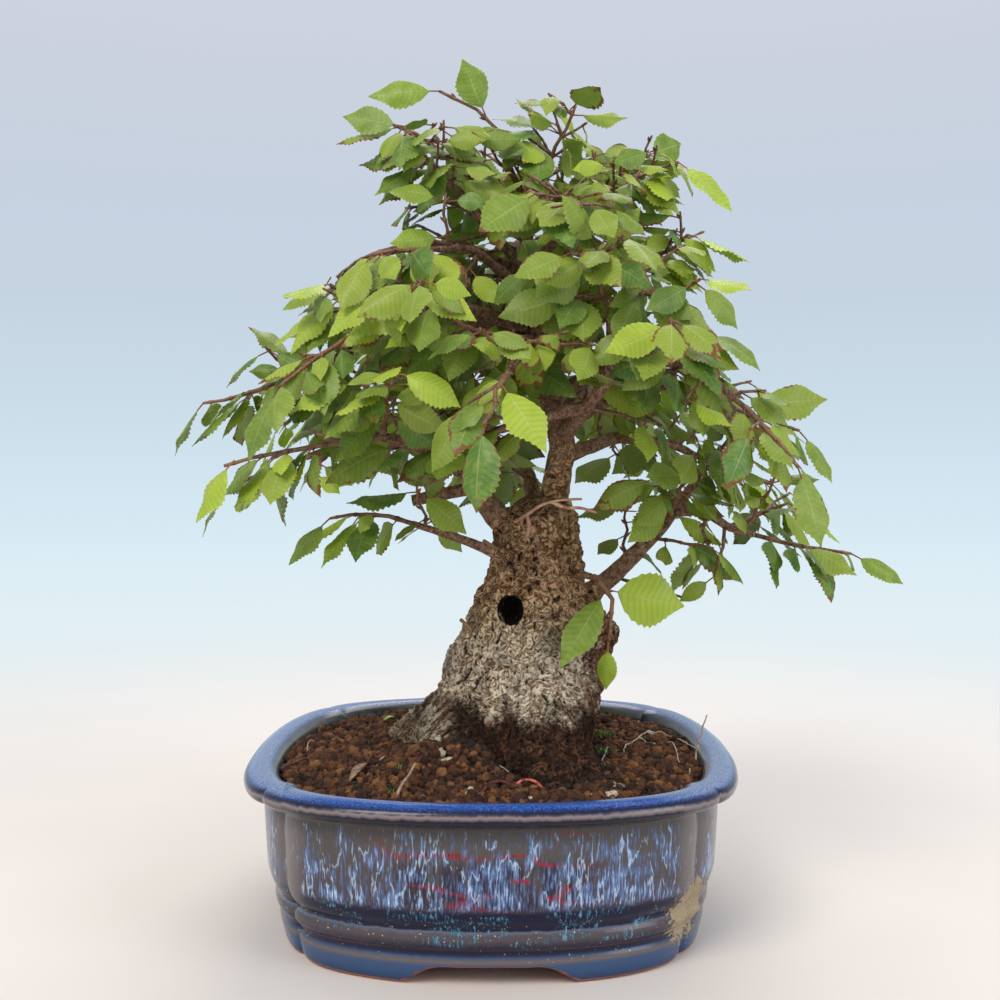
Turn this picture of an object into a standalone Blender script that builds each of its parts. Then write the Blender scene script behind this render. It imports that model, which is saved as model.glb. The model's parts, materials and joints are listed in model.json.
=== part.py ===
"""Korean hornbeam bonsai in a glazed mokko pot, for Blender 4.5 (metres, +Z up).

The origin is on the standing surface under the middle of the whole object.
Everything is built round the middle of the pot and parented to one empty,
which stands the pot left of the origin because the crown leans to the right.
"""

import math
import random

import bmesh
import bpy
from mathutils import Matrix, Vector, noise
from mathutils.bvhtree import BVHTree

MM = 0.001
GAP = 0.3 * MM
UP = Vector((0.0, 0.0, 1.0))

POT_PLACE = Vector((-14.5, -9.7, 4.7)) * MM

# Pot: four lobes round a nearly square plan, with a notch at each corner.
RIM_HALF = Vector((107.7, 117.5)) * MM
RIM_NOTCH = Vector((90.0, 85.5)) * MM
NOTCH_SHARE = 0.92
LOBE_POINTS = 7
LOBE_FLATNESS = 2.2
LOBE_SWELL = 1.2
FLOOR_TOP = 12.5
FOOT_LOW = -4.7
# Height and inset from the rim's outline, in mm, from the foot's inner edge round to the floor.
POT_PROFILE = (
    (6.2, 28.0), (FOOT_LOW, 26.5), (FOOT_LOW, 17.0), (-3.5, 15.8), (4.9, 14.0), (6.3, 14.2),
    (7.2, 15.4), (9.2, 14.8), (12.1, 12.5), (15.1, 12.1), (16.9, 13.8), (18.1, 13.4),
    (21.5, 11.2), (27.0, 9.6), (50.0, 8.4), (57.0, 9.0), (58.6, 6.4), (60.0, 1.8),
    (63.0, 0.0), (65.8, 1.2), (67.5, 5.0), (67.2, 9.6), (65.0, 13.4), (62.0, 14.8),
    (30.0, 16.2), (15.0, 19.4), (FLOOR_TOP, 22.0),
)
CAVITY_FROM = 23
ARCH_RISE = 8.0 * MM
ARCH_HALF_TOP = 22.5 * MM
ARCH_HALF_BOTTOM = 35.0 * MM
ARCH_REACH = 140.0 * MM
DRAIN_X = 44.0 * MM
DRAIN_RADIUS = 9.0 * MM
DRAIN_DEPTH = 30.0 * MM

# Screens over the drain holes, under the soil.
SCREEN_SIDE = 26.0 * MM
SCREEN_THICKNESS = 0.8 * MM
SCREEN_CELLS = 2
SCREEN_WIRE = 2.0 * MM

# Soil: its edge stays below the rim, it rises a little to the trunk and is heaped up at its left front.
SOIL_EDGE = 61.0
SOIL_MOUND = 3.5
SOIL_HEAP = Vector((-15.0, -37.0)) * MM
SOIL_HEAP_RISE = 14.0
SOIL_HEAP_SPREAD = 22.0 * MM
SOIL_GRAIN = 0.9
SOIL_WAVES = ((140.0, 1.0), (320.0, 0.6))
SOIL_RINGS = 9
SOIL_RIM_SCALE = 0.996
SOIL_WALLS = (15.0, 30.0, 59.5)
SOIL_CLEARANCE = 0.4
HOLE_TOP = 80.0

# Trunk sections in mm: height, middle x and y, half width, half depth, share of the root flare.
TRUNK_SECTIONS = (
    (46.0, 8.0, -8.0, 34.5, 35.0, 1.00), (67.0, 8.0, -8.0, 34.5, 35.0, 1.00),
    (74.0, 9.0, -7.0, 35.5, 35.5, 0.66), (84.0, 11.0, -5.0, 36.5, 35.5, 0.38),
    (95.0, 13.0, -3.0, 36.5, 34.5, 0.20), (108.0, 15.5, -1.0, 34.5, 32.5, 0.09),
    (120.0, 19.5, 0.0, 32.5, 30.0, 0.04), (132.0, 18.5, 1.0, 25.5, 26.5, 0.0),
    (146.0, 20.0, 2.0, 21.0, 22.0, 0.0), (160.0, 20.5, 2.0, 18.5, 19.5, 0.0),
    (171.0, 21.0, 2.0, 18.0, 18.0, 0.0), (177.0, 22.0, 2.0, 12.0, 12.0, 0.0),
)
TRUNK_SIDES = 26
BARK_RIDGE = 0.10
BARK_TURN = 2.2
BARK_RUN = 26.0
# Root lobes: bearing in degrees, reach in mm, spread in degrees.
ROOT_LOBES = (
    (147.0, 33.0, 17.0), (-73.0, 29.0, 16.0), (-45.0, 18.0, 15.0), (205.0, 13.0, 15.0), (60.0, 12.0, 18.0),
)
# The burl on the trunk's right: bearing in degrees, reach in mm, spread in degrees, height and its spread in mm.
BURL = (-3.0, 9.0, 24.0, 116.0, 14.0)
KNOT_PLACE = Vector((8.5, -24.0, 130.0)) * MM
KNOT_HALF = Vector((5.5, 11.0, 6.5)) * MM

# Limbs in mm: name, route from the pot's middle, radius at both ends, sprays beside the one at the tip.
BARE = -1
LIMBS = (
    ("leader", ((25, 2, 160), (33, 3, 203), (17, 6, 262), (15, 4, 302), (22, 1, 320)), 7.5, 1.8, 0),
    ("left", ((12, 0, 160), (-8, -4, 183), (-7, -6, 194), (-2, -24, 222), (-14, -40, 236)), 6.5, 1.7, 1),
    ("left_stub", ((-7, -4, 184), (-22, -8, 181), (-36, -10, 178)), 3.4, 2.6, BARE),
    ("left_low", ((8, -6, 152), (-14, -14, 161), (-35, -20, 168)), 2.8, 1.4, 0),
    ("far_left", ((19, 5, 252), (-8, 2, 252), (-52, -4, 257), (-73, -8, 240), (-94, -10, 232)),
     4.4, 1.6, 2),
    ("far_left_back", ((17, 6, 262), (-20, 34, 260), (-56, 50, 246), (-78, 56, 232)), 3.8, 1.5, 1),
    ("low_left", ((-8, -5, 188), (-34, 6, 203), (-66, 14, 206), (-88, 16, 198)), 3.6, 1.5, 1),
    ("front_left", ((-7, -5, 190), (-24, -32, 200), (-48, -56, 206), (-66, -66, 202)), 3.6, 1.5, 1),
    ("front_left_top", ((17, 5, 258), (-14, -34, 262), (-40, -58, 258), (-56, -66, 246)), 3.6, 1.5, 1),
    ("front_pale", ((33, 2, 208), (40, -30, 217), (50, -46, 230), (49, -52, 247)), 4.2, 1.7, 0),
    ("front_cross", ((41, -32, 219), (22, -46, 214), (2, -50, 208)), 3.2, 1.7, 0),
    ("front", ((24, 4, 236), (18, -36, 246), (12, -68, 244), (8, -86, 232)), 3.8, 1.5, 1),
    ("front_mid", ((19, 5, 256), (30, -30, 272), (38, -56, 274)), 3.2, 1.5, 0),
    ("front_right", ((27, 4, 226), (60, -40, 240), (84, -60, 234), (98, -70, 220)), 3.8, 1.5, 1),
    ("right_low", ((34, 8, 126), (56, 4, 143), (78, -2, 166), (94, -4, 188)), 5.4, 1.9, 1),
    ("right_long", ((84, -3, 173), (96, -9, 174), (106, -13, 166), (117, -16, 163)), 2.8, 1.4, 1),
    ("right_mid", ((31, 3, 212), (60, -8, 228), (84, -18, 230), (100, -24, 222)), 4.0, 1.5, 2),
    ("right_back", ((32, 3, 198), (60, 30, 208), (86, 42, 206), (104, 44, 198)), 4.0, 1.5, 1),
    ("back_right", ((29, 4, 216), (46, 42, 232), (60, 66, 230)), 3.8, 1.6, 1),
    ("back", ((22, 12, 164), (18, 40, 190), (10, 64, 202), (4, 78, 200)), 4.8, 1.6, 1),
    ("back_left", ((17, 6, 255), (-6, 40, 260), (-24, 66, 250)), 3.6, 1.5, 1),
    ("top_right", ((15, 4, 274), (40, 2, 286), (56, -4, 286)), 2.8, 1.4, 0),
    ("top_right_back", ((16, 5, 262), (42, 34, 274), (58, 52, 268)), 3.0, 1.4, 0),
    ("top_left", ((15, 4, 282), (-14, 2, 296), (-34, -2, 294)), 2.8, 1.4, 0),
    ("mid_left", ((17, 6, 250), (-16, -14, 264), (-36, -22, 263)), 3.0, 1.4, 0),
    ("top_left_back", ((16, 5, 270), (-12, 34, 282), (-28, 50, 276)), 2.8, 1.4, 0),
    ("top_front", ((15, 3, 290), (18, -24, 304), (24, -42, 304)), 2.8, 1.4, 0),
    ("top_front_left", ((16, 4, 274), (-8, -28, 288), (-22, -48, 284)), 2.8, 1.4, 0),
    ("top_front_right", ((15, 4, 268), (42, -32, 278), (58, -50, 268)), 3.0, 1.4, 0),
    ("top_back", ((15, 4, 290), (12, 32, 302), (6, 50, 296)), 2.8, 1.4, 0),
    ("dome_left", ((16, 4, 284), (-4, -16, 302), (-14, -24, 312)), 2.6, 1.3, 0),
    ("dome_right", ((16, 4, 284), (38, -8, 304), (50, -12, 312)), 2.6, 1.3, 0),
    ("crest_right", ((18, 2, 302), (34, 8, 314), (44, 12, 318)), 2.4, 1.3, 0),
    ("crest_left", ((16, 3, 298), (0, -8, 316), (-10, -14, 324)), 2.4, 1.3, 0),
    ("crest_shoot", ((18, 3, 308), (12, 6, 324), (7, 4, 334)), 1.9, 1.2, 0),
    ("trunk_bud", ((32, -7, 146.5), (44, -19, 144.5)), 1.6, 1.5, 0),
)
THICK_LIMB = 3.2
STUB_LENGTH = 5.0 * MM
STUB_RADIUS = 1.5 * MM
# The shares of a limb's length at which its one or two side stubs stand, and their way ahead and aside.
STUB_SHARES = {0: (), 1: (0.72,), 2: (0.62, 0.84)}
STUB_AHEAD = 0.5
STUB_ASIDE = 0.8

# Sprays: a twig that bends at each bud, with a side shoot at two of them.
TWIG_RADIUS = 1.2 * MM
TWIG_TIP_RADIUS = 0.7 * MM
TWIG_BUDS = 4
TWIG_STEP = 10.0 * MM
STEP_RANGE = (0.85, 1.15)
TWIG_ZIGZAG = 0.22
TWIG_LIFT = (-0.20, 0.22)
TWIG_WANDER = 0.10
SPRAY_RISE = (0.0, 0.9)
STEM_SQUARE = 0.72
STEEP = 0.85
BUD_SHARE = 0.6
BUD_RISE = 0.25 * MM
SHOOT_SEGMENT = 2
SHOOT_STEP = 13.0 * MM
SHOOT_RADIUS = 0.8 * MM
SHOOT_AHEAD = 0.6
SHOOT_LIFT = 0.35
SPRAY_TRIES = 16
RIGHT_WALL = 1
LEFT_WALL = 3
SEED = 23

# Leaves: distance along the blade and share of the half width for each point of one edge.
LEAF_LENGTHS = (20.0 * MM, 29.0 * MM)
LEAF_WIDTH_SHARE = (0.54, 0.64)
LEAF_EDGE = ((0.0, 0.14), (0.20, 0.84), (0.28, 0.80), (0.46, 1.0), (0.68, 0.62))
LEAF_RIB_AT = 0.42
LEAF_THICKNESS = 0.9 * MM
PETIOLE = 5.0 * MM
PETIOLE_HALF = 0.38 * MM
PETIOLE_BARE = 0.25
LEAF_AHEAD = (0.2, 0.6)
LEAF_ASIDE = (0.9, 1.1)
LEAF_DROOP = (0.3, 1.0)
LEAF_LEAN = 0.4
FACE_UP = 0.55
FACE_OUTWARD = 0.7
FACE_FRONT = 0.35
CROWN_AXIS = Vector((20.0, 3.0, 0.0)) * MM
END_LEAF_SWING = 0.4
LEAF_ARCH = 0.10
LEAF_CUP = 0.16
LEAF_TRIES = 18
LEAF_CLEARANCE = 0.8 * MM

# Two sprays seen plainly: the bends after the butt in mm, then for each leaf its segment, its side
# (0 at the end), its way and its upper side, and its length and width in mm.
PLAIN_SPRAYS = {
    "crest_shoot": (
        ((6, 2, 338), (3, 0, 347), (-7, -1, 356.5), (-24, -2, 364.5)),
        (
            (4, -1, (-0.42, -0.35, 0.90), (0.25, -1.0, -0.25), 22, 15),
            (5, 0, (-1.0, -0.15, -0.04), (0.0, -1.0, 0.30), 27, 14),
        ),
    ),
    "trunk_bud": (
        ((53, -27, 135), (52, -29, 126), (51, -28, 117)),
        (
            (2, -1, (-0.60, -0.62, -0.90), (-0.3, -1.0, 0.3), 36, 15),
            (2, 1, (1.0, -0.15, -0.22), (0.0, -1.0, 0.25), 29, 24),
            (4, 0, (-0.05, 0.0, -1.0), (-0.2, -1.0, 0.1), 17, 9),
        ),
    ),
}
SIDEWAYS = Vector((0.0, 1.0, 0.0))


def material(name, colour, roughness, metallic=0.0):
    """A plain surface of one colour."""
    finish = bpy.data.materials.new(name)
    finish.use_nodes = True
    shader = finish.node_tree.nodes["Principled BSDF"]
    shader.inputs["Base Color"].default_value = (*colour, 1.0)
    shader.inputs["Roughness"].default_value = roughness
    shader.inputs["Metallic"].default_value = metallic
    return finish


def new_object(name, mesh, finish=None):
    """An object with this mesh, in the scene's own collection until it is placed."""
    shape = bpy.data.objects.new(name, mesh)
    bpy.context.scene.collection.objects.link(shape)
    if finish:
        mesh.materials.clear()
        mesh.materials.append(finish)
    return shape


def mesh_of(bm, name):
    """A mesh from the bmesh, with its faces turned outwards."""
    bmesh.ops.recalc_face_normals(bm, faces=bm.faces)
    mesh = bpy.data.meshes.new(name)
    bm.to_mesh(mesh)
    bm.free()
    return mesh


def loft(name, rings):
    """A closed solid skinned over rings with as many points each, and capped."""
    bm = bmesh.new()
    loops = [[bm.verts.new(point) for point in ring] for ring in rings]
    for lower, upper in zip(loops, loops[1:]):
        for k in range(len(lower)):
            bm.faces.new((lower[k - 1], lower[k], upper[k], upper[k - 1]))
    bm.faces.new(loops[0])
    bm.faces.new(loops[-1])
    return mesh_of(bm, name)


def evaluated_mesh(shape):
    """The object's mesh with its curve bevel or modifiers worked out."""
    graph = bpy.context.evaluated_depsgraph_get()
    return bpy.data.meshes.new_from_object(shape.evaluated_get(graph))


def tube(name, route, radii, bevel_resolution=1):
    """A tapered tube along straight runs, closed at both ends."""
    curve = bpy.data.curves.new(name, "CURVE")
    curve.dimensions = "3D"
    curve.bevel_depth = 1.0
    curve.bevel_resolution = bevel_resolution
    curve.use_fill_caps = True
    spline = curve.splines.new("POLY")
    spline.points.add(len(route) - 1)
    for point, place, radius in zip(spline.points, route, radii):
        point.co = (*place, 1.0)
        point.radius = radius
    guide = new_object(name, curve)
    mesh = evaluated_mesh(guide)
    bpy.data.objects.remove(guide)
    bpy.data.curves.remove(curve)
    bm = bmesh.new()
    bm.from_mesh(mesh)
    bmesh.ops.remove_doubles(bm, verts=bm.verts, dist=0.00001)
    bpy.data.meshes.remove(mesh)
    return mesh_of(bm, name)


def largest_body(mesh):
    """Leaves only the largest of the mesh's separate bodies."""
    bm = bmesh.new()
    bm.from_mesh(mesh)
    waiting = set(bm.verts)
    bodies = []
    while waiting:
        body = set()
        front = [next(iter(waiting))]
        while front:
            vert = front.pop()
            if vert in body:
                continue
            body.add(vert)
            front.extend(edge.other_vert(vert) for edge in vert.link_edges)
        waiting -= body
        bodies.append(body)
    bodies.sort(key=len)
    for scrap in bodies[:-1]:
        bmesh.ops.delete(bm, geom=list(scrap), context="VERTS")
    bm.to_mesh(mesh)
    bm.free()


def fused(name, meshes, finish):
    """One body from solids that are sunk into each other, the first of them the base."""
    base = new_object(name, meshes[0])
    repeats = bpy.data.collections.new(name + "_repeats")
    bpy.context.scene.collection.children.link(repeats)
    for mesh in meshes[1:]:
        repeats.objects.link(bpy.data.objects.new(name + "_repeat", mesh))
    union = base.modifiers.new("Union", "BOOLEAN")
    union.operation = "UNION"
    union.operand_type = "COLLECTION"
    union.collection = repeats
    union.solver = "MANIFOLD"
    joined = evaluated_mesh(base)
    base.modifiers.clear()
    for repeat in list(repeats.objects):
        bpy.data.objects.remove(repeat)
    bpy.data.collections.remove(repeats)
    bpy.data.objects.remove(base)
    joined.name = name
    largest_body(joined)
    return new_object(name, joined, finish)


def cut(shape, cutter):
    """Takes the cutter's shape out of the object."""
    cutter.hide_render = True
    cutter.display_type = "WIRE"
    difference = shape.modifiers.new("Cut " + cutter.name, "BOOLEAN")
    difference.operation = "DIFFERENCE"
    difference.object = cutter


def mokko(inset, height, scale=1.0):
    """The pot's plan outline, moved in by inset, as points at one height."""
    half = RIM_HALF - Vector((inset, inset))
    notch = RIM_NOTCH - Vector((inset, inset)) * NOTCH_SHARE
    points = []
    for turn in range(4):
        across, out = (0, 1) if turn % 2 == 0 else (1, 0)
        for step in range(LOBE_POINTS):
            angle = math.pi * step / LOBE_POINTS
            along = -math.copysign(abs(math.cos(angle)) ** (2 / LOBE_FLATNESS), math.cos(angle))
            reach = notch[out] + (half[out] - notch[out]) * math.sin(angle) ** LOBE_SWELL
            flat = Vector((along * notch[across], -reach))
            flat.rotate(Matrix.Rotation(turn * math.pi / 2, 2))
            points.append(Vector((flat.x * scale, flat.y * scale, height)))
    return points


def cavity_inset(height):
    """The inset of the pot's inner wall at a height, both in mm."""
    wall = POT_PROFILE[CAVITY_FROM:]
    for (upper, near), (lower, far) in zip(wall, wall[1:]):
        if height >= lower:
            return far + (near - far) * (height - lower) / (upper - lower)
    return wall[-1][1]


def build_pot(cutters):
    """The glazed pot, with the arches between its feet and its drain holes cut out."""
    rings = [mokko(inset * MM, height * MM) for height, inset in POT_PROFILE]
    pot = new_object("pot", loft("pot", rings), material("glazed_stoneware", (0.20, 0.24, 0.36), 0.25))
    for name, turn in (("arch_front_back", 0.0), ("arch_sides", math.pi / 2)):
        bm = bmesh.new()
        bmesh.ops.create_cube(bm, size=2.0)
        for vert in bm.verts:
            half = ARCH_HALF_TOP if vert.co.z > 0 else 2 * ARCH_HALF_BOTTOM - ARCH_HALF_TOP
            vert.co = Vector((vert.co.x * half, vert.co.y * ARCH_REACH, vert.co.z * ARCH_RISE + FOOT_LOW * MM))
        bmesh.ops.rotate(bm, verts=bm.verts, matrix=Matrix.Rotation(turn, 3, "Z"))
        arch = new_object(name, mesh_of(bm, name))
        cutters.append(arch)
        cut(pot, arch)
    for name, side in (("drain_left", -1), ("drain_right", 1)):
        bm = bmesh.new()
        bmesh.ops.create_cone(
            bm, cap_ends=True, segments=14, radius1=DRAIN_RADIUS, radius2=DRAIN_RADIUS, depth=DRAIN_DEPTH
        )
        hole = new_object(name, mesh_of(bm, name))
        hole.location = (side * DRAIN_X, 0.0, FLOOR_TOP * MM)
        cutters.append(hole)
        cut(pot, hole)
    return pot


def build_screens():
    """Plastic mesh screens lying on the floor over the drain holes."""
    finish = material("screen_plastic", (0.02, 0.02, 0.02), 0.5)
    screens = []
    for name, side in (("drain_screen_left", -1), ("drain_screen_right", 1)):
        bm = bmesh.new()
        bmesh.ops.create_grid(bm, x_segments=SCREEN_CELLS, y_segments=SCREEN_CELLS, size=SCREEN_SIDE / 2)
        cells = list(bm.faces)
        bmesh.ops.inset_individual(bm, faces=cells, thickness=SCREEN_WIRE / 2, use_even_offset=True)
        bmesh.ops.delete(bm, geom=cells, context="FACES_ONLY")
        mesh = bpy.data.meshes.new(name)
        bm.to_mesh(mesh)
        bm.free()
        screen = new_object(name, mesh, finish)
        solidify = screen.modifiers.new("Thickness", "SOLIDIFY")
        solidify.thickness = SCREEN_THICKNESS
        solidify.offset = 1.0
        screen.location = (side * DRAIN_X, 0.0, FLOOR_TOP * MM + GAP)
        screens.append(screen)
    return screens


def soil_height(x, y):
    """The height of the soil's granular top at a place."""
    reach = min(1.0, math.hypot(x / RIM_HALF.x, y / RIM_HALF.y))
    grain = sum(share * noise.noise(Vector((x, y, 0.0)) * scale) for scale, share in SOIL_WAVES)
    heap = math.exp(-(((Vector((x, y)) - SOIL_HEAP).length / SOIL_HEAP_SPREAD) ** 2))
    return (SOIL_EDGE + SOIL_MOUND * (1 - reach) + SOIL_HEAP_RISE * heap + SOIL_GRAIN * grain) * MM


def trunk_radius(section, angle):
    """How far the trunk reaches at an angle, with root flare, burl and bark ridges."""
    height, half_x, half_y, flare = section[0], *section[3:]
    ellipse = half_x * half_y / math.hypot(half_y * math.cos(angle), half_x * math.sin(angle))
    burl = math.exp(-(((height - BURL[3]) / BURL[4]) ** 2))
    for share, (bearing, reach, spread) in (*((flare, lobe) for lobe in ROOT_LOBES), (burl, BURL[:3])):
        turn = math.degrees(angle) - bearing
        turn -= 360.0 * round(turn / 360.0)
        ellipse += share * reach * math.exp(-((turn / spread) ** 2))
    level = max(height, TRUNK_SECTIONS[1][0]) / BARK_RUN
    ridge = noise.noise(Vector((math.cos(angle) * BARK_TURN, math.sin(angle) * BARK_TURN, level)))
    return ellipse * (1 + BARK_RIDGE * ridge)


def trunk_ring(section, spare=0.0, height=None):
    """One level of the trunk, or of the plain hole round it."""
    level, middle_x, middle_y = section[:3]
    points = []
    for side in range(TRUNK_SIDES):
        angle = 2 * math.pi * side / TRUNK_SIDES
        radius = trunk_radius(section, angle) + spare
        x = middle_x + radius * math.cos(angle)
        y = middle_y + radius * math.sin(angle)
        points.append(Vector((x, y, level if height is None else height)) * MM)
    return points


def build_soil(cutters):
    """The soil, with the plain hole that the trunk stands in and a seat for each screen."""
    rings = []
    for height in (FLOOR_TOP + SOIL_CLEARANCE, *SOIL_WALLS):
        rings.append(mokko((cavity_inset(height) + SOIL_CLEARANCE) * MM, height * MM))
    edge = cavity_inset(SOIL_EDGE) + SOIL_CLEARANCE
    for ring in range(SOIL_RINGS):
        level = mokko(edge * MM, 0.0, 1 - ring / SOIL_RINGS if ring else SOIL_RIM_SCALE)
        rings.append([Vector((point.x, point.y, soil_height(point.x, point.y))) for point in level])
    soil = new_object("soil", loft("soil", rings), material("akadama", (0.22, 0.10, 0.045), 0.95))
    foot = TRUNK_SECTIONS[0]
    ends = [trunk_ring(foot, SOIL_CLEARANCE, height) for height in (foot[0] - SOIL_CLEARANCE, HOLE_TOP)]
    plug = loft("trunk_hole", ends)
    hole = new_object("trunk_hole", plug)
    cutters.append(hole)
    cut(soil, hole)
    for name, side in (("screen_seat_left", -1), ("screen_seat_right", 1)):
        bm = bmesh.new()
        bmesh.ops.create_cube(bm, size=1.0)
        seat = new_object(name, mesh_of(bm, name))
        side_length = SCREEN_SIDE + 2 * GAP
        seat.scale = (side_length, side_length, 2 * (SCREEN_THICKNESS + 2 * GAP))
        seat.location = (side * DRAIN_X, 0.0, FLOOR_TOP * MM)
        cutters.append(seat)
        cut(soil, seat)
    return soil


def even_radii(count, first, last):
    """Radii that taper evenly along a route."""
    return [first + (last - first) * k / (count - 1) for k in range(count)]


class Seat:
    """Where a spray grows: a flat end of the wood, its direction and its radius."""

    def __init__(self, name, place, direction, radius):
        self.name = name
        self.place = place
        self.direction = direction.normalized()
        self.radius = radius


def along(route, share):
    """The place and direction at a share of a route's length."""
    lengths = [(b - a).length for a, b in zip(route, route[1:])]
    left = share * sum(lengths)
    for (a, b), length in zip(zip(route, route[1:]), lengths):
        if left <= length:
            return a.lerp(b, left / length), (b - a).normalized()
        left -= length
    return route[-1], (route[-1] - route[-2]).normalized()


def limb_meshes_and_seats():
    """A tube for each limb and side stub, and a seat at each flat end that carries a spray."""
    meshes = []
    seats = []
    for name, places, first, last, beside in LIMBS:
        route = [Vector(place) * MM for place in places]
        radii = [radius * MM for radius in even_radii(len(route), first, last)]
        meshes.append(tube(name, route, radii, 1 if first > THICK_LIMB else 0))
        if beside == BARE:
            continue
        seats.append(Seat(name, route[-1], route[-1] - route[-2], last * MM))
        draw = random.Random(f"{SEED} {name}")
        for count, share in enumerate(STUB_SHARES[beside], 1):
            place, ahead = along(route, share)
            aside = ahead.cross(UP).normalized() * (-1 if (count + len(name)) % 2 else 1)
            rise = UP * draw.uniform(*SPRAY_RISE)
            direction = (ahead * STUB_AHEAD + aside * STUB_ASIDE + rise).normalized()
            thickness = (first + (last - first) * share) * MM
            end = place + direction * (thickness + STUB_LENGTH)
            meshes.append(tube(name + "_stub", [place, end], [STUB_RADIUS, STUB_RADIUS], 0))
            seats.append(Seat(f"{name}_{count}", end, direction, STUB_RADIUS))
    return meshes, seats


def build_wood(cutters, limb_meshes):
    """Roots, trunk and limbs, grown as one piece, with the old knot hole."""
    trunk = loft("trunk", [trunk_ring(section) for section in TRUNK_SECTIONS])
    wood = fused("trunk_and_limbs", [trunk, *limb_meshes], material("bark", (0.20, 0.13, 0.08), 0.9))
    bm = bmesh.new()
    bmesh.ops.create_uvsphere(bm, u_segments=10, v_segments=6, radius=1.0)
    bmesh.ops.scale(bm, vec=KNOT_HALF, verts=bm.verts)
    knot = new_object("knot_hole", mesh_of(bm, "knot_hole"))
    knot.location = KNOT_PLACE
    cutters.append(knot)
    cut(wood, knot)
    return wood


class Leaf:
    """One leaf: the petiole's foot, the way it grows, its upper side and its size."""

    def __init__(self, foot, ahead, face, length, width):
        self.ahead = ahead.normalized()
        self.side = self.ahead.cross(face).normalized()
        self.face = self.side.cross(self.ahead).normalized()
        self.foot = foot
        self.length = length
        self.half = width / 2

    def point(self, distance, across, lift):
        """A point of the leaf from its distances along, across and above it."""
        return self.foot + self.ahead * distance + self.side * across + self.face * lift

    def edge(self, side, grow=0.0):
        """One toothed edge from the petiole towards the tip, arched and cupped."""
        points = []
        for share, width in LEAF_EDGE:
            across = width * self.half + grow
            lift = self.arch(share) - LEAF_CUP * across
            points.append(self.point(PETIOLE + share * self.length, side * across, lift))
        return points

    def arch(self, share):
        """How far the blade bends down at a share of its length, past its widest part."""
        return -LEAF_ARCH * self.length * max(0.0, (share - LEAF_RIB_AT) / (1 - LEAF_RIB_AT)) ** 2

    def ribs(self, grow=0.0):
        """The rib's middle above and below, and the tip."""
        half_thick = LEAF_THICKNESS / 2 + grow
        rib_at = PETIOLE + LEAF_RIB_AT * self.length
        tip = self.point(PETIOLE + self.length + grow, 0.0, self.arch(1.0))
        return self.point(rib_at, 0.0, half_thick), self.point(rib_at, 0.0, -half_thick), tip

    def grow_from(self, bm, mouth):
        """Skins the petiole and the blade from four corners of the stem."""
        square = ((-1, 1), (1, 1), (1, -1), (-1, -1))
        near = [self.point(0.0, side * PETIOLE_HALF, lift * PETIOLE_HALF) for side, lift in square]
        left_top, right_top, right_under, left_under = matched(mouth, near)
        top, under, tip = [bm.verts.new(place) for place in self.ribs()]
        bm.faces.new((left_top, right_top, top))
        bm.faces.new((left_under, right_under, under))
        for side, stem_top, stem_under in ((-1, left_top, left_under), (1, right_top, right_under)):
            edge = [bm.verts.new(place) for place in self.edge(side)]
            bm.faces.new((stem_top, stem_under, edge[0]))
            bm.faces.new((stem_top, edge[0], top))
            bm.faces.new((stem_under, edge[0], under))
            for a, b in zip(edge, [*edge[1:], tip]):
                bm.faces.new((a, b, top))
                bm.faces.new((a, b, under))

    def guard(self, grow=0.0, bare=0.0):
        """A search tree of the leaf, made larger by grow, without the petiole's first bare share."""
        neck = [self.point(bare * PETIOLE, 0.0, lift * (PETIOLE_HALF + grow / 2)) for lift in (1, -1)]
        points = [*self.edge(-1, grow), *self.edge(1, grow), *self.ribs(grow), *neck]
        count = len(LEAF_EDGE)
        top, under, tip, neck_top, neck_under = range(2 * count, 2 * count + 5)
        faces = []
        for first in (0, count):
            run = [*range(first, first + count), tip]
            faces += [(a, b, rib) for a, b in zip(run, run[1:]) for rib in (top, under)]
            faces += [(neck_top, first, top), (neck_under, first, under), (neck_top, neck_under, first)]
        return Ball(points, faces)


def matched(loop, places):
    """The loop's four corners in the order that lies nearest to the places."""
    orders = [loop[k:] + loop[:k] for k in range(4)]
    orders += [order[::-1] for order in orders]
    return min(orders, key=lambda order: sum((v.co - p).length for v, p in zip(order, places)))


class Ball:
    """A shape's search tree, with the middle and reach of its points."""

    def __init__(self, points, faces):
        self.tree = BVHTree.FromPolygons(points, faces)
        self.middle = sum(points, Vector()) / len(points)
        self.reach = max((point - self.middle).length for point in points)

    def meets(self, other):
        """Whether the two shapes' faces cross."""
        if (self.middle - other.middle).length > self.reach + other.reach:
            return False
        return bool(self.tree.overlap(other.tree))


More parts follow.
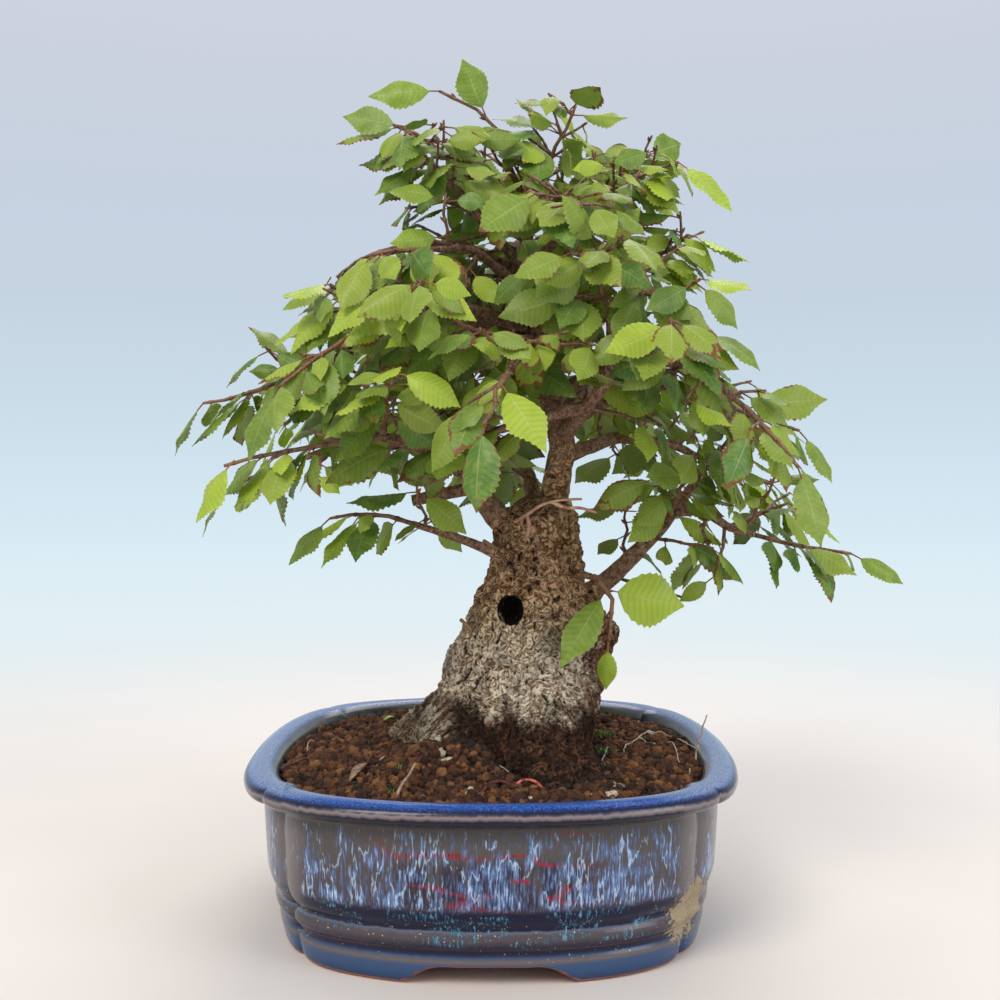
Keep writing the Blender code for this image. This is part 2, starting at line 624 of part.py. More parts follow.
class Stem:
    """A four-sided stem with walls at either side, the leaves and shoots on them and its end leaf."""

    def __init__(self, route, first, last, level=None):
        self.route = route
        self.radii = even_radii(len(route), first, last)
        steep = abs((route[-1] - route[0]).normalized().z) > STEEP
        self.level = level or (SIDEWAYS if steep else UP)
        self.ahead = (route[1] - route[0]).normalized()
        self.carried = []
        self.end_leaf = None

    def frame(self, bend):
        """The way ahead and the way to the right at a bend."""
        before = self.route[max(bend - 1, 0)]
        after = self.route[min(bend + 1, len(self.route) - 1)]
        ahead = (after - before).normalized()
        return ahead, ahead.cross(self.level).normalized()

    def ring(self, bend, spare=0.0):
        """The stem's four corners at a bend."""
        ahead, aside = self.frame(bend)
        above = aside.cross(ahead)
        half = STEM_SQUARE * self.radii[bend] + spare
        square = ((-1, -1), (1, -1), (1, 1), (-1, 1))
        return [self.route[bend] + (aside * x + above * z) * half for x, z in square]

    def bud(self, segment, side):
        """A place on a side wall, with the ways ahead and outwards there."""
        near, far = self.route[segment - 1], self.route[segment]
        ahead = (far - near).normalized()
        aside = ahead.cross(self.level).normalized() * side
        radius = self.radii[segment - 1] * (1 - BUD_SHARE) + self.radii[segment] * BUD_SHARE
        return near.lerp(far, BUD_SHARE) + aside * STEM_SQUARE * radius, ahead, aside

    def guard(self, grow=0.0):
        """A search tree of the stem's walls."""
        points = [corner for bend in range(len(self.route)) for corner in self.ring(bend, grow)]
        faces = []
        for first in range(0, len(points) - 4, 4):
            near = [*range(first, first + 4), first]
            faces += [(a, b, b + 4, a + 4) for a, b in zip(near, near[1:])]
        return Ball(points, faces)

    def grow_from(self, bm, mouth=None):
        """Skins the stem from its butt, or from the mouth in the stem that carries it."""
        if mouth is None:
            near = [bm.verts.new(corner) for corner in self.ring(0)]
            bm.faces.new(near)
        else:
            near = matched(mouth, self.ring(0))
        for segment in range(1, len(self.route)):
            far = [bm.verts.new(corner) for corner in self.ring(segment)]
            walls = [bm.faces.new((near[k], near[(k + 1) % 4], far[(k + 1) % 4], far[k])) for k in range(4)]
            for where, side, half, thing in self.carried:
                if where == segment:
                    wall = walls[RIGHT_WALL if side > 0 else LEFT_WALL]
                    thing.grow_from(bm, open_wall(bm, wall, half, thing.ahead))
            near = far
        if self.end_leaf:
            self.end_leaf.grow_from(bm, near)
        else:
            bm.faces.new(near)


def open_wall(bm, wall, half, way):
    """Opens a small raised square in a stem's wall and returns its corners."""
    outer = list(wall.verts)
    near = (outer[0].co + outer[1].co) / 2
    far = (outer[3].co + outer[2].co) / 2
    middle = near.lerp(far, BUD_SHARE) + way * BUD_RISE
    along = (far - near).normalized()
    across = (outer[1].co - outer[0].co).normalized()
    bm.faces.remove(wall)
    square = ((-1, -1), (-1, 1), (1, 1), (1, -1))
    inner = [bm.verts.new(middle + (along * x + across * y) * half) for x, y in square]
    for k in range(4):
        bm.faces.new((outer[k], outer[(k + 1) % 4], inner[(k + 1) % 4], inner[k]))
    return inner


def twig_at(seat, draw):
    """A twig that swings to either side at each bud and bends up or down as it goes."""
    ahead = seat.direction.copy()
    lift = UP * draw.uniform(*TWIG_LIFT)
    place = seat.place + ahead * GAP
    aside = ahead.cross(UP).normalized()
    route = [place]
    for bud in range(TWIG_BUDS):
        swing = TWIG_ZIGZAG * (1 if bud % 2 else -1)
        step = ahead + aside * swing if bud else ahead
        place = place + step.normalized() * TWIG_STEP * draw.uniform(*STEP_RANGE)
        route.append(place)
        lean = Vector([draw.uniform(-TWIG_WANDER, TWIG_WANDER) for _ in range(3)])
        ahead = (ahead + lift + lean).normalized()
    return Stem(route, min(TWIG_RADIUS, seat.radius), TWIG_TIP_RADIUS)


def shoot_at(twig, segment, side, draw):
    """A short side shoot from a twig's wall."""
    place, ahead, aside = twig.bud(segment, side)
    way = (ahead * SHOOT_AHEAD + aside + UP * draw.uniform(-SHOOT_LIFT, SHOOT_LIFT)).normalized()
    return Stem([place, place + way * SHOOT_STEP], SHOOT_RADIUS, TWIG_TIP_RADIUS)


def leaf_at(place, ahead, aside, draw):
    """A drooping leaf at a bud, with its upper side turned up, outwards and to the front."""
    droop = draw.uniform(*LEAF_DROOP)
    way = (ahead * draw.uniform(*LEAF_AHEAD) + aside * draw.uniform(*LEAF_ASIDE)).normalized()
    way = (way - UP * droop).normalized()
    outward = place - CROWN_AXIS
    outward.z = 0.0
    face = UP * FACE_UP + outward.normalized() * FACE_OUTWARD - SIDEWAYS * FACE_FRONT
    face += Vector([draw.uniform(-LEAF_LEAN, LEAF_LEAN) for _ in range(3)])
    length = draw.uniform(*LEAF_LENGTHS)
    return Leaf(place, way, face, length, length * draw.uniform(*LEAF_WIDTH_SHARE))


class Spray:
    """A leafy twig with a side shoot, and the buds that its leaves grow from."""

    def __init__(self, seat, attempt):
        draw = random.Random(f"{SEED} {seat.name} {attempt}")
        self.name = "spray_" + seat.name
        self.twig = twig_at(seat, draw)
        self.shoots = []
        self.buds = []
        for segment in range(1, TWIG_BUDS + 1):
            side = 1 if segment % 2 else -1
            self.buds.append((self.twig, segment, side if segment < TWIG_BUDS else 0))
            if segment == SHOOT_SEGMENT:
                shoot = shoot_at(self.twig, segment, -side, draw)
                self.twig.carried.append((segment, -side, STEM_SQUARE * SHOOT_RADIUS, shoot))
                self.shoots.append(shoot)
                self.buds += [(shoot, 1, side), (shoot, 1, 0)]

    def stems(self):
        """The twig and its shoots."""
        return [self.twig, *self.shoots]

    def leaf_for(self, bud, draw):
        """A leaf drawn for one bud."""
        stem, segment, side = bud
        if side:
            return leaf_at(*stem.bud(segment, side), draw)
        ahead, aside = stem.frame(segment)
        swing = aside * draw.uniform(-END_LEAF_SWING, END_LEAF_SWING)
        return leaf_at(stem.route[segment], ahead, ahead + swing, draw)

    def keep(self, bud, leaf):
        """Hangs a leaf on its bud."""
        stem, segment, side = bud
        if side:
            stem.carried.append((segment, side, PETIOLE_HALF, leaf))
        else:
            stem.end_leaf = leaf

    @classmethod
    def plain(cls, seat):
        """A spray whose bends and leaves are given one by one."""
        bends, leaves = PLAIN_SPRAYS[seat.name]
        spray = cls.__new__(cls)
        spray.name = "spray_" + seat.name
        spray.shoots = []
        spray.buds = []
        butt = seat.place + seat.direction * GAP
        route = [butt, butt + seat.direction * TWIG_STEP / 3, *[Vector(bend) * MM for bend in bends]]
        spray.twig = Stem(route, seat.radius, TWIG_TIP_RADIUS, SIDEWAYS)
        for segment, side, way, face, length, width in leaves:
            foot = spray.twig.bud(segment, side)[0] if side else route[segment]
            leaf = Leaf(foot, Vector(way), Vector(face), length * MM, width * MM)
            spray.keep((spray.twig, segment, side), leaf)
        return spray

    def build(self, finish):
        """The spray's one closed body."""
        bm = bmesh.new()
        self.twig.grow_from(bm)
        return new_object(self.name, mesh_of(bm, self.name), finish)


def meets_any(guards, kept):
    """Whether any of the guards crosses a shape that is kept."""
    return any(guard.meets(other) for guard in guards for other in kept)


def clear_spray(seat, kept):
    """A drawn spray whose stems stand clear of all that is kept."""
    for attempt in range(SPRAY_TRIES):
        spray = Spray(seat, attempt)
        if not meets_any([stem.guard() for stem in spray.stems()], kept):
            break
    return spray


def hang_leaf(spray, rank, kept):
    """Draws one bud's leaf until it stands clear, and leaves the bud bare if none does."""
    bud = spray.buds[rank]
    for attempt in range(LEAF_TRIES):
        leaf = spray.leaf_for(bud, random.Random(f"{SEED} {spray.name} {rank} {attempt}"))
        if not meets_any([leaf.guard(LEAF_CLEARANCE, PETIOLE_BARE)], kept):
            spray.keep(bud, leaf)
            kept.append(leaf.guard())
            return


def place_sprays(seats, wood):
    """The plain sprays, then the drawn ones' stems, then the leaves of those bud by bud."""
    mesh = wood.data
    kept = [Ball([v.co.copy() for v in mesh.vertices], [tuple(p.vertices) for p in mesh.polygons])]
    plain = [Spray.plain(seat) for seat in seats if seat.name in PLAIN_SPRAYS]
    for spray in plain:
        kept += [spray.twig.guard(), spray.twig.end_leaf.guard()]
        kept += [thing.guard() for *_, thing in spray.twig.carried]
    drawn = []
    for seat in seats:
        if seat.name not in PLAIN_SPRAYS:
            spray = clear_spray(seat, kept)
            drawn.append(spray)
            kept += [stem.guard(GAP) for stem in spray.stems()]
    for rank in range(len(drawn[0].buds)):
        for spray in drawn:
            hang_leaf(spray, rank, kept)
    return plain + drawn


def main():
    """Clears the scene and builds the bonsai."""
    for shape in list(bpy.data.objects):
        bpy.data.objects.remove(shape)
    scene = bpy.context.scene
    bonsai = bpy.data.collections.new("korean_hornbeam_bonsai")
    helpers = bpy.data.collections.new("cutters")
    scene.collection.children.link(bonsai)
    scene.collection.children.link(helpers)
    stand = bpy.data.objects.new("pot_middle", None)
    stand.location = POT_PLACE
    bonsai.objects.link(stand)

    cutters = []
    limb_meshes, seats = limb_meshes_and_seats()
    wood = build_wood(cutters, limb_meshes)
    pieces = [build_pot(cutters), *build_screens(), build_soil(cutters), wood]
    green = material("leaf_green", (0.16, 0.32, 0.05), 0.55)
    pieces += [spray.build(green) for spray in place_sprays(seats, wood)]
    for shape in [*pieces, *cutters]:
        scene.collection.objects.unlink(shape)
        shape.parent = stand
    for shape in pieces:
        bonsai.objects.link(shape)
    for shape in cutters:
        helpers.objects.link(shape)


main()
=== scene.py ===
"""Korean hornbeam bonsai in a glazed mokko pot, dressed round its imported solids.

Blender 4.5, +Z up. Sizes are millimetres from the middle of the pot's foot, as in
the part's own source, and placed() turns them into metres in the shared frame.
"""

import json
import logging
import math
import random
from collections.abc import Sequence
from dataclasses import dataclass, field, replace
from enum import Enum
from typing import Any

import bmesh
import bpy
from bmesh.types import BMesh, BMVert
from bpy.types import Material, Mesh, Node, NodeSocket, NodeTree, Object
from mathutils import Euler, Matrix, Vector, noise
from mathutils.bvhtree import BVHTree

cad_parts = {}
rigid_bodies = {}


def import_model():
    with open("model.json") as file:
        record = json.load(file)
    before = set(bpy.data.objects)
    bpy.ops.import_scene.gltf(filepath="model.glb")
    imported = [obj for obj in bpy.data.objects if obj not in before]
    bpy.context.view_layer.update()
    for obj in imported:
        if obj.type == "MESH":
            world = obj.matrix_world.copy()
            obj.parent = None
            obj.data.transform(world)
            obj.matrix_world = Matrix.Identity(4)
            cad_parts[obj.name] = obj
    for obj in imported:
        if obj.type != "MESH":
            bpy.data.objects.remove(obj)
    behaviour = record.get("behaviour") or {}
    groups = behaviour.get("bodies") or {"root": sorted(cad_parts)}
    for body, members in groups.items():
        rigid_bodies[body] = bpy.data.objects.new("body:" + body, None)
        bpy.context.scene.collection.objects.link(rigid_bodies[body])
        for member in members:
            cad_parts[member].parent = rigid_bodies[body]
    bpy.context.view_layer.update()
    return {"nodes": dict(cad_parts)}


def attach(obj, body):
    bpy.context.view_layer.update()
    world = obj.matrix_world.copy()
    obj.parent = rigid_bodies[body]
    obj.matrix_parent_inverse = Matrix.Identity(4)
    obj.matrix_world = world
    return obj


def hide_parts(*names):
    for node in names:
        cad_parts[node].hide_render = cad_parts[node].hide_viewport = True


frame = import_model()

log = logging.getLogger("bonsai")

MM = 0.001
UP = Vector((0.0, 0.0, 1.0))
FRONT = Vector((0.0, -1.0, 0.0))
POT_PLACE = Vector((-14.5, -9.7, 4.7)) * MM
SEED = 23
Point = tuple[float, ...]
Colour = tuple[float, float, float, float]


class Slot(Enum):
    """The record's material slots."""

    GLAZE = "glazed_stoneware"
    SOIL = "akadama"
    BARK = "bark"
    LEAF = "leaf_green"


def tint(code: str) -> Colour:
    """A linear colour from its screen code, such as "8c8382"."""
    shares = [int(code[k : k + 2], 16) / 255 for k in (0, 2, 4)]
    red, green, blue = [s / 12.92 if s <= 0.04045 else ((s + 0.055) / 1.055) ** 2.4 for s in shares]
    return red, green, blue, 1.0


def placed(point: Sequence[float]) -> Vector:
    """A point in millimetres from the pot's middle, as metres in the shared frame."""
    return Vector(point) * MM + POT_PLACE


def from_pot(point: Vector) -> Vector:
    """A point of the shared frame in millimetres from the pot's middle."""
    return (point - POT_PLACE) / MM


def distance_to(place: Vector, near: Vector, far: Vector) -> float:
    """How far a place lies from the line between two others."""
    span = far - near
    share = min(1.0, max(0.0, (place - near).dot(span) / span.length_squared))
    return (place - near.lerp(far, share)).length


def along_pairs(pairs: Sequence[tuple[float, float]], at: float) -> float:
    """The value at a place along pairs of (place, value), in straight runs."""
    for (low, first), (high, last) in zip(pairs, pairs[1:]):
        if at <= high:
            return first + (last - first) * max(0.0, (at - low) / (high - low))
    return pairs[-1][1]


def smoothstep(low: float, high: float, value: float) -> float:
    """Rises smoothly from 0 at low to 1 at high."""
    share = min(1.0, max(0.0, (value - low) / (high - low)))
    return share * share * (3 - 2 * share)


class Graph:
    """Adds nodes to one node tree and joins them."""

    def __init__(self, tree: NodeTree) -> None:
        """Starts on a node tree."""
        self.tree = tree

    def fill(self, node: Node, inputs: dict[Any, Any]) -> Node:
        """Joins or sets a node's inputs, given by name or number, and returns the node."""
        for key, value in inputs.items():
            if isinstance(value, NodeSocket):
                self.tree.links.new(value, node.inputs[key])
            else:
                node.inputs[key].default_value = value
        return node

    def add(self, kind: str, inputs: dict[Any, Any] | None = None, **settings: Any) -> Node:
        """Adds one node.

        Args:
            kind: The node's type without its ShaderNode prefix.
            inputs: A socket to join or a value to set, by input name or number.
            settings: The node's own properties.

        Returns:
            The new node.
        """
        node = self.tree.nodes.new("ShaderNode" + kind)
        for key, value in settings.items():
            setattr(node, key, value)
        return self.fill(node, inputs or {})

    def maths(self, operation: str, first: Any, second: Any = 0.0) -> NodeSocket:
        """One sum on one or two values."""
        return self.add("Math", {0: first, 1: second}, operation=operation).outputs[0]

    def scaled(self, value: Any, factor: Any, offset: Any = 0.0) -> NodeSocket:
        """A value times a factor plus an offset."""
        return self.add("Math", {0: value, 1: factor, 2: offset}, operation="MULTIPLY_ADD").outputs[0]

    def all_of(self, *masks: Any) -> NodeSocket:
        """The product of masks, which is high only where all of them are."""
        product = masks[0]
        for mask in masks[1:]:
            product = self.maths("MULTIPLY", product, mask)
        return product

    def vector(self, operation: str, first: Any, second: Any) -> NodeSocket:
        """One sum on two vectors."""
        return self.add("VectorMath", {0: first, 1: second}, operation=operation).outputs[0]

    def distance(self, place: Any, other: Point = (0.0, 0.0, 0.0)) -> NodeSocket:
        """How far a place is from another."""
        return self.add("VectorMath", {0: place, 1: other}, operation="DISTANCE").outputs["Value"]

    def ease(self, value: Any, low: float, high: float) -> NodeSocket:
        """A mask that goes smoothly from 0 at low to 1 at high."""
        inputs = {"Value": value, "From Min": low, "From Max": high}
        return self.add("MapRange", inputs, interpolation_type="SMOOTHSTEP").outputs[0]

    def band(self, value: Any, rise: Point, fall: Point) -> NodeSocket:
        """A mask that rises over one stretch of a value and falls over a later one."""
        return self.all_of(self.ease(value, *rise), self.ease(value, *reversed(fall)))

    def mix(self, share: Any, *pair: Any) -> NodeSocket:
        """Two colours, each a socket or a screen code, mixed by a share or mask."""
        first, second = [tint(colour) if isinstance(colour, str) else colour for colour in pair]
        return self.add("Mix", {0: share, 6: first, 7: second}, data_type="RGBA").outputs[2]

    def over(self, colour: Any, coat: Any, *masks: Any) -> NodeSocket:
        """A colour under a coat of another, which shows where all of the masks are high."""
        return self.mix(self.all_of(*masks), colour, coat)

    def ramp(self, value: Any, stops: Sequence[tuple[float, str]]) -> NodeSocket:
        """A colour from a value by stops of (place, screen code)."""
        node = self.add("ValToRGB", {0: value})
        elements = node.color_ramp.elements
        for count, (place, code) in enumerate(stops):
            element = elements[count] if count < 2 else elements.new(place)
            element.position = place
            element.color = tint(code)
        return node.outputs[0]

    def noise(self, place: Any, scale: float, detail: float = 4.0, roughness: float = 0.55) -> NodeSocket:
        """Fractal noise from 0 to 1."""
        inputs = {"Vector": place, "Scale": scale, "Detail": detail, "Roughness": roughness}
        return self.add("TexNoise", inputs).outputs[0]

    def mottle(self, place: Any, scale: float) -> NodeSocket:
        """The shared soft mottle at a scale."""
        return self.effect(Effect.MOTTLE, Place=place, Scale=scale)[0]

    def lines(self, place: Any, detail: float, roughness: float) -> NodeSocket:
        """A height that is 0 along thin winding lines and rises on both sides of them."""
        return self.maths("ABSOLUTE", self.scaled(self.noise(place, 1.0, detail, roughness), 1.0, -0.5))

    def parts(self, vector: Any) -> Sequence[NodeSocket]:
        """The three numbers of a vector."""
        return self.add("SeparateXYZ", {0: vector}).outputs

    def millimetres(self) -> NodeSocket:
        """The place on the piece in millimetres from the pot's middle."""
        inputs = {
            "Vector": self.add("TexCoord").outputs["Object"],
            "Location": tuple(-POT_PLACE / MM),
            "Scale": (1 / MM,) * 3,
        }
        return self.add("Mapping", inputs).outputs[0]

    def attribute(self, name: str) -> NodeSocket:
        """A mesh attribute as a vector."""
        return self.add("Attribute", attribute_name=name).outputs["Vector"]

    def bump(self, height: Any, depth: float, strength: float = 1.0) -> NodeSocket:
        """A normal from a height mask, with its depth in millimetres."""
        return self.add("Bump", {"Height": height, "Distance": depth * MM, "Strength": strength}).outputs[0]

    def effect(self, effect: "Effect", **inputs: Any) -> Sequence[NodeSocket]:
        """Places a shared effect with its own values and returns its outputs."""
        node = self.tree.nodes.new("ShaderNodeGroup")
        node.node_tree = effect.tree()
        return self.fill(node, inputs).outputs

    def blend(self, share: Any, shader: Node, other: Node) -> None:
        """Mixes a second shader into the first and leads both to the material's output."""
        both = self.add("MixShader", {0: share, 1: shader.outputs[0], 2: other.outputs[0]})
        self.fill(self.tree.nodes["Material Output"], {"Surface": both.outputs[0]})


class Effect(Enum):
    """Node groups that several finishes share, each built once."""

    STREAKS = "stretched streaks"
    FLECKS = "scattered flecks"
    MOTTLE = "soft mottle"

    def tree(self) -> NodeTree:
        """The effect's node group, built the first time that it is asked for."""
        made = bpy.data.node_groups.get(self.value)
        if made:
            return made
        made = bpy.data.node_groups.new(self.value, "ShaderNodeTree")
        sockets = {
            Effect.STREAKS: (("Across", "Along"), ("Fine", "Broad")),
            Effect.FLECKS: (("Scale", "Share"), ("Fleck", "Tone")),
            Effect.MOTTLE: (("Scale",), ("Mask",)),
        }[self]
        made.interface.new_socket("Place", in_out="INPUT", socket_type="NodeSocketVector")
        for name in sockets[0]:
            made.interface.new_socket(name, in_out="INPUT", socket_type="NodeSocketFloat")
        for name in sockets[1]:
            made.interface.new_socket(name, in_out="OUTPUT", socket_type="NodeSocketFloat")
        graph = Graph(made)
        given = made.nodes.new("NodeGroupInput").outputs
        results = {
            Effect.STREAKS: self.streaks,
            Effect.FLECKS: self.flecks,
            Effect.MOTTLE: self.mottle,
        }[self](graph, given)
        graph.fill(made.nodes.new("NodeGroupOutput"), dict(enumerate(results)))
        return made

    @staticmethod
    def streaks(graph: Graph, given: Sequence[NodeSocket]) -> list[NodeSocket]:
        """Fine and broad noise drawn out in height."""
        across, along = given["Across"], given["Along"]
        stretch = graph.add("CombineXYZ", {0: across, 1: across, 2: along}).outputs[0]
        place = graph.vector("MULTIPLY", given["Place"], stretch)
        return [graph.noise(place, 1.0, 5.0, 0.62), graph.noise(place, 0.22, 3.0, 0.5)]

    @staticmethod
    def flecks(graph: Graph, given: Sequence[NodeSocket]) -> list[NodeSocket]:
        """Round flecks in a share of random cells, and each cell's own tone."""
        cells = graph.add("TexVoronoi", {"Vector": given["Place"], "Scale": given["Scale"]}).outputs
        tone = graph.parts(cells["Color"])
        chosen = graph.maths("LESS_THAN", tone[0], given["Share"])
        size = graph.scaled(tone[1], 0.25, 0.12)
        return [graph.all_of(chosen, graph.maths("LESS_THAN", cells["Distance"], size)), tone[2]]

    @staticmethod
    def mottle(graph: Graph, given: Sequence[NodeSocket]) -> list[NodeSocket]:
        """Cloudy noise with more contrast than the plain one."""
        inputs = {"Vector": given["Place"], "Scale": given["Scale"], "Detail": 6.0}
        return [graph.ease(graph.add("TexNoise", inputs).outputs[0], 0.33, 0.67)]


@dataclass(frozen=True)
class Finish:
    """A procedural material. Each kind of finish adds its own nodes."""

    name: str = "finish"
    roughness: float = 0.6

    def material(self) -> Material:
        """The finish's material, made the first time that it is asked for."""
        made = bpy.data.materials.get(self.name)
        if made:
            return made
        made = bpy.data.materials.new(self.name)
        made.use_nodes = True
        shader = made.node_tree.nodes["Principled BSDF"]
        shader.inputs["Roughness"].default_value = self.roughness
        self.paint(Graph(made.node_tree), shader)
        return made

    def paint(self, graph: Graph, shader: Node) -> None:
        """Adds the finish's nodes round its shader."""
        raise NotImplementedError


@dataclass(frozen=True)
class Glaze(Finish):
    """Running blue glaze over taupe, broken by mouldings, with bare clay at the foot."""

    name: str = "running glaze"
    roughness: float = 0.16
    coat: float = 0.05
    coat_roughness: float = 0.06
    shine: float = 0.32
    # Height in millimetres and colour of each band, from the bare foot to the crest. The pale grey-blue stop
    # at 16.9 is a painted highlight on the lower moulding's crest, and the pinkish stops at 62.9 and 63.8 are
    # a painted reflection of the pale surroundings along the rim's outer side.
    bands: tuple[tuple[float, str], ...] = (
        (-4.7, "7a3f28"), (-3.8, "7a3f28"), (-3.3, "22365a"), (0.0, "2f4b72"), (3.6, "3d5374"),
        (5.2, "6a5c52"), (6.5, "3f4d66"), (7.4, "1d2540"), (8.8, "0c1030"), (11.0, "131532"),
        (12.4, "3b3440"), (14.0, "4b4246"), (15.9, "4c4547"), (16.9, "5a6070"), (17.6, "090c2e"),
        (24.4, "080b2c"), (25.8, "30273a"), (28.0, "4b4244"), (50.0, "514a46"), (57.0, "4a4441"),
        (59.2, "393338"), (60.2, "10111f"), (62.2, "15172a"), (62.9, "665a5c"), (63.8, "857877"),
        (64.5, "3b3747"), (65.1, "10152e"), (66.1, "16224e"), (66.8, "23428c"),
    )
    reach: tuple[float, float] = (-4.7, 68.0)
    # Where in the flow each tone starts and is full, its share and its colour, from thin to thick.
    runs: tuple[tuple[float, float, float, str], ...] = (
        (0.52, 0.61, 0.60, "4b5f84"), (0.60, 0.69, 0.78, "6580ac"),
        (0.69, 0.78, 0.90, "a2b8d6"), (0.78, 0.86, 1.00, "dde7f0"),
    )
    crust_at: Point = (76.0, -74.0, 17.0)

    def paint(self, graph: Graph, shader: Node) -> None:
        """Bands by height with painted highlight lines, and over them the panels' runs, the drips, the crest
        and the crust.
        """
        shader.inputs["Coat Weight"].default_value = self.coat
        shader.inputs["Coat Roughness"].default_value = self.coat_roughness
        shader.inputs["Specular IOR Level"].default_value = self.shine
        place = graph.millimetres()
        x, y, z = list(graph.parts(place))
        normal = graph.parts(graph.add("NewGeometry").outputs["Normal"])
        fine, broad = graph.effect(Effect.STREAKS, Place=place, Across=1.35, Along=0.15)
        patch = graph.mottle(place, 0.055)
        panel = graph.band(z, (25.0, 28.5), (52.0, 57.5))

        # The bands, which sway a little sideways above the foot, and what lies on the walls.
        sway = graph.all_of(graph.scaled(broad, 1.75, -0.875), graph.ease(z, 4.0, 12.0))
        level = graph.maths("ADD", z, sway)
        low, tall = self.reach[0], self.reach[1] - self.reach[0]
        stops = [((height - low) / tall, code) for height, code in self.bands]
        colour = graph.ramp(graph.scaled(level, 1 / tall, -low / tall), stops)
        colour = graph.over(colour, "40302c", panel, graph.ease(z, 40.0, 28.0), patch, 0.6)
        colour = self.panels(graph, colour, place, panel, (fine, broad))
        colour = self.drips(graph, colour, place)

        # The crest's specks and its top, where the pale blue away from the front is a painted reflection of
        # the sky over the glaze's blue, then the pot's inside and its bare foot.
        speck = graph.noise(place, 1.5, 3.0, 0.7)
        grain = graph.ease(speck, 0.38, 0.64)
        rise = graph.ease(z, 65.2, 66.4)
        colour = graph.over(colour, "5b86d6", rise, graph.ease(speck, 0.50, 0.66), 0.7)
        top_glaze_and_sky_sheen, royal = graph.mix(grain, "44608c", "8fa4c2"), graph.mix(grain, "1b387c", "426fbc")
        # Away from the front the top's pale blue is a painted reflection of the sky; at the front the glaze's
        # royal blue shows.
        crest = graph.mix(graph.ease(y, -90.0, -106.0), top_glaze_and_sky_sheen, royal)
        top = graph.all_of(graph.ease(normal[2], 0.70, 0.98), graph.ease(z, 65.5, 67.0))
        colour = graph.over(colour, crest, top, 0.85)
        outward = graph.maths("ADD", graph.all_of(normal[0], x), graph.all_of(normal[1], y))
        inner = graph.ease(outward, 2.0, -12.0)
        inside = graph.mix(patch, "2b302f", "5b625c")
        colour = graph.over(colour, inside, inner, graph.band(z, (8.0, 12.0), (64.6, 66.6)))
        under = graph.maths("MAXIMUM", graph.ease(normal[2], -0.45, -0.7), inner)
        bare = graph.all_of(under, graph.ease(z, 11.0, 8.0))
        colour = graph.over(colour, graph.mix(patch, "8e4f33", "b8744a"), bare)

        # A pale crust with a crumbled edge at one low corner.
        crumbs = graph.noise(place, 0.55, 5.0, 0.7)
        past = graph.maths("SUBTRACT", graph.scaled(crumbs, 30.0), graph.distance(place, self.crust_at))
        crust = graph.ease(past, 0.5, 3.0)
        colour = graph.over(colour, graph.mix(graph.noise(place, 1.4), "6b5a45", "cbb896"), crust)
        matt = graph.maths("MAXIMUM", bare, crust)
        relief = graph.scaled(graph.noise(place, 0.35), 1.4, graph.all_of(fine, panel))
        relief = graph.scaled(graph.all_of(crust, crumbs), 6.0, relief)
        inputs = {
            "Base Color": colour,
            "Roughness": graph.scaled(matt, 0.7, graph.scaled(crumbs, 0.14, 0.12)),
            "Normal": graph.bump(relief, 0.16, 0.5),
        }
        graph.fill(shader, inputs)

    def panels(
        self, graph: Graph, colour: Any, place: Any, panel: Any, streaks: Sequence[Any]
    ) -> NodeSocket:
        """Violet and red in each lobe's middle, the pale glaze that ran down over them, and a painted
        reflection at the lobes' ends.

        Args:
            graph: The material's nodes.
            colour: The bands.
            place: The place in millimetres.
            panel: The mask of the plain wall.
            streaks: The fine and the broad streaks.

        Returns:
            The colour with the runs on it.
        """
        fine, broad = streaks
        x, y, z = list(graph.parts(place))
        middle = graph.maths("MINIMUM", graph.maths("ABSOLUTE", x), graph.maths("ABSOLUTE", y))
        centre = graph.all_of(panel, graph.ease(middle, 50.0, 22.0))
        corner = graph.all_of(graph.ease(middle, 70.0, 79.0), graph.band(z, (12.0, 26.0), (60.0, 66.0)))
        violet = graph.all_of(centre, graph.ease(broad, 0.40, 0.52), graph.ease(z, 48.0, 40.0))
        colour = graph.over(colour, "221830", violet, 0.85)
        arc = graph.lines(graph.vector("MULTIPLY", place, (0.024, 0.024, 0.10)), 2.0, 0.4)
        red = graph.mix(graph.ease(fine, 0.34, 0.50), "3a1524", "96182a")
        arcs = graph.all_of(centre, graph.ease(arc, 0.050, 0.014), graph.ease(fine, 0.66, 0.48))
        colour = graph.over(colour, red, arcs, 0.9)
        thick = graph.scaled(graph.mottle(place, 0.11), 0.16, graph.scaled(corner, -0.16, -0.06))
        thick = graph.scaled(graph.ease(z, 56.0, 30.0), 0.08, thick)
        flow = graph.maths("ADD", fine, thick)
        for start, full, share, code in self.runs:
            colour = graph.over(colour, code, panel, graph.ease(flow, start, full), share)
        thread = graph.lines(graph.vector("MULTIPLY", place, (0.17, 0.17, 0.036)), 3.0, 0.5)
        pale = graph.all_of(panel, graph.ease(thread, 0.020, 0.004), graph.ease(flow, 0.46, 0.58))
        colour = graph.over(colour, "b4c8e0", pale, 0.70)
        # The pale grey at the lobes' ends is a painted reflection of the pale surroundings on the glaze.
        return graph.over(colour, "7f7878", corner, 0.55)

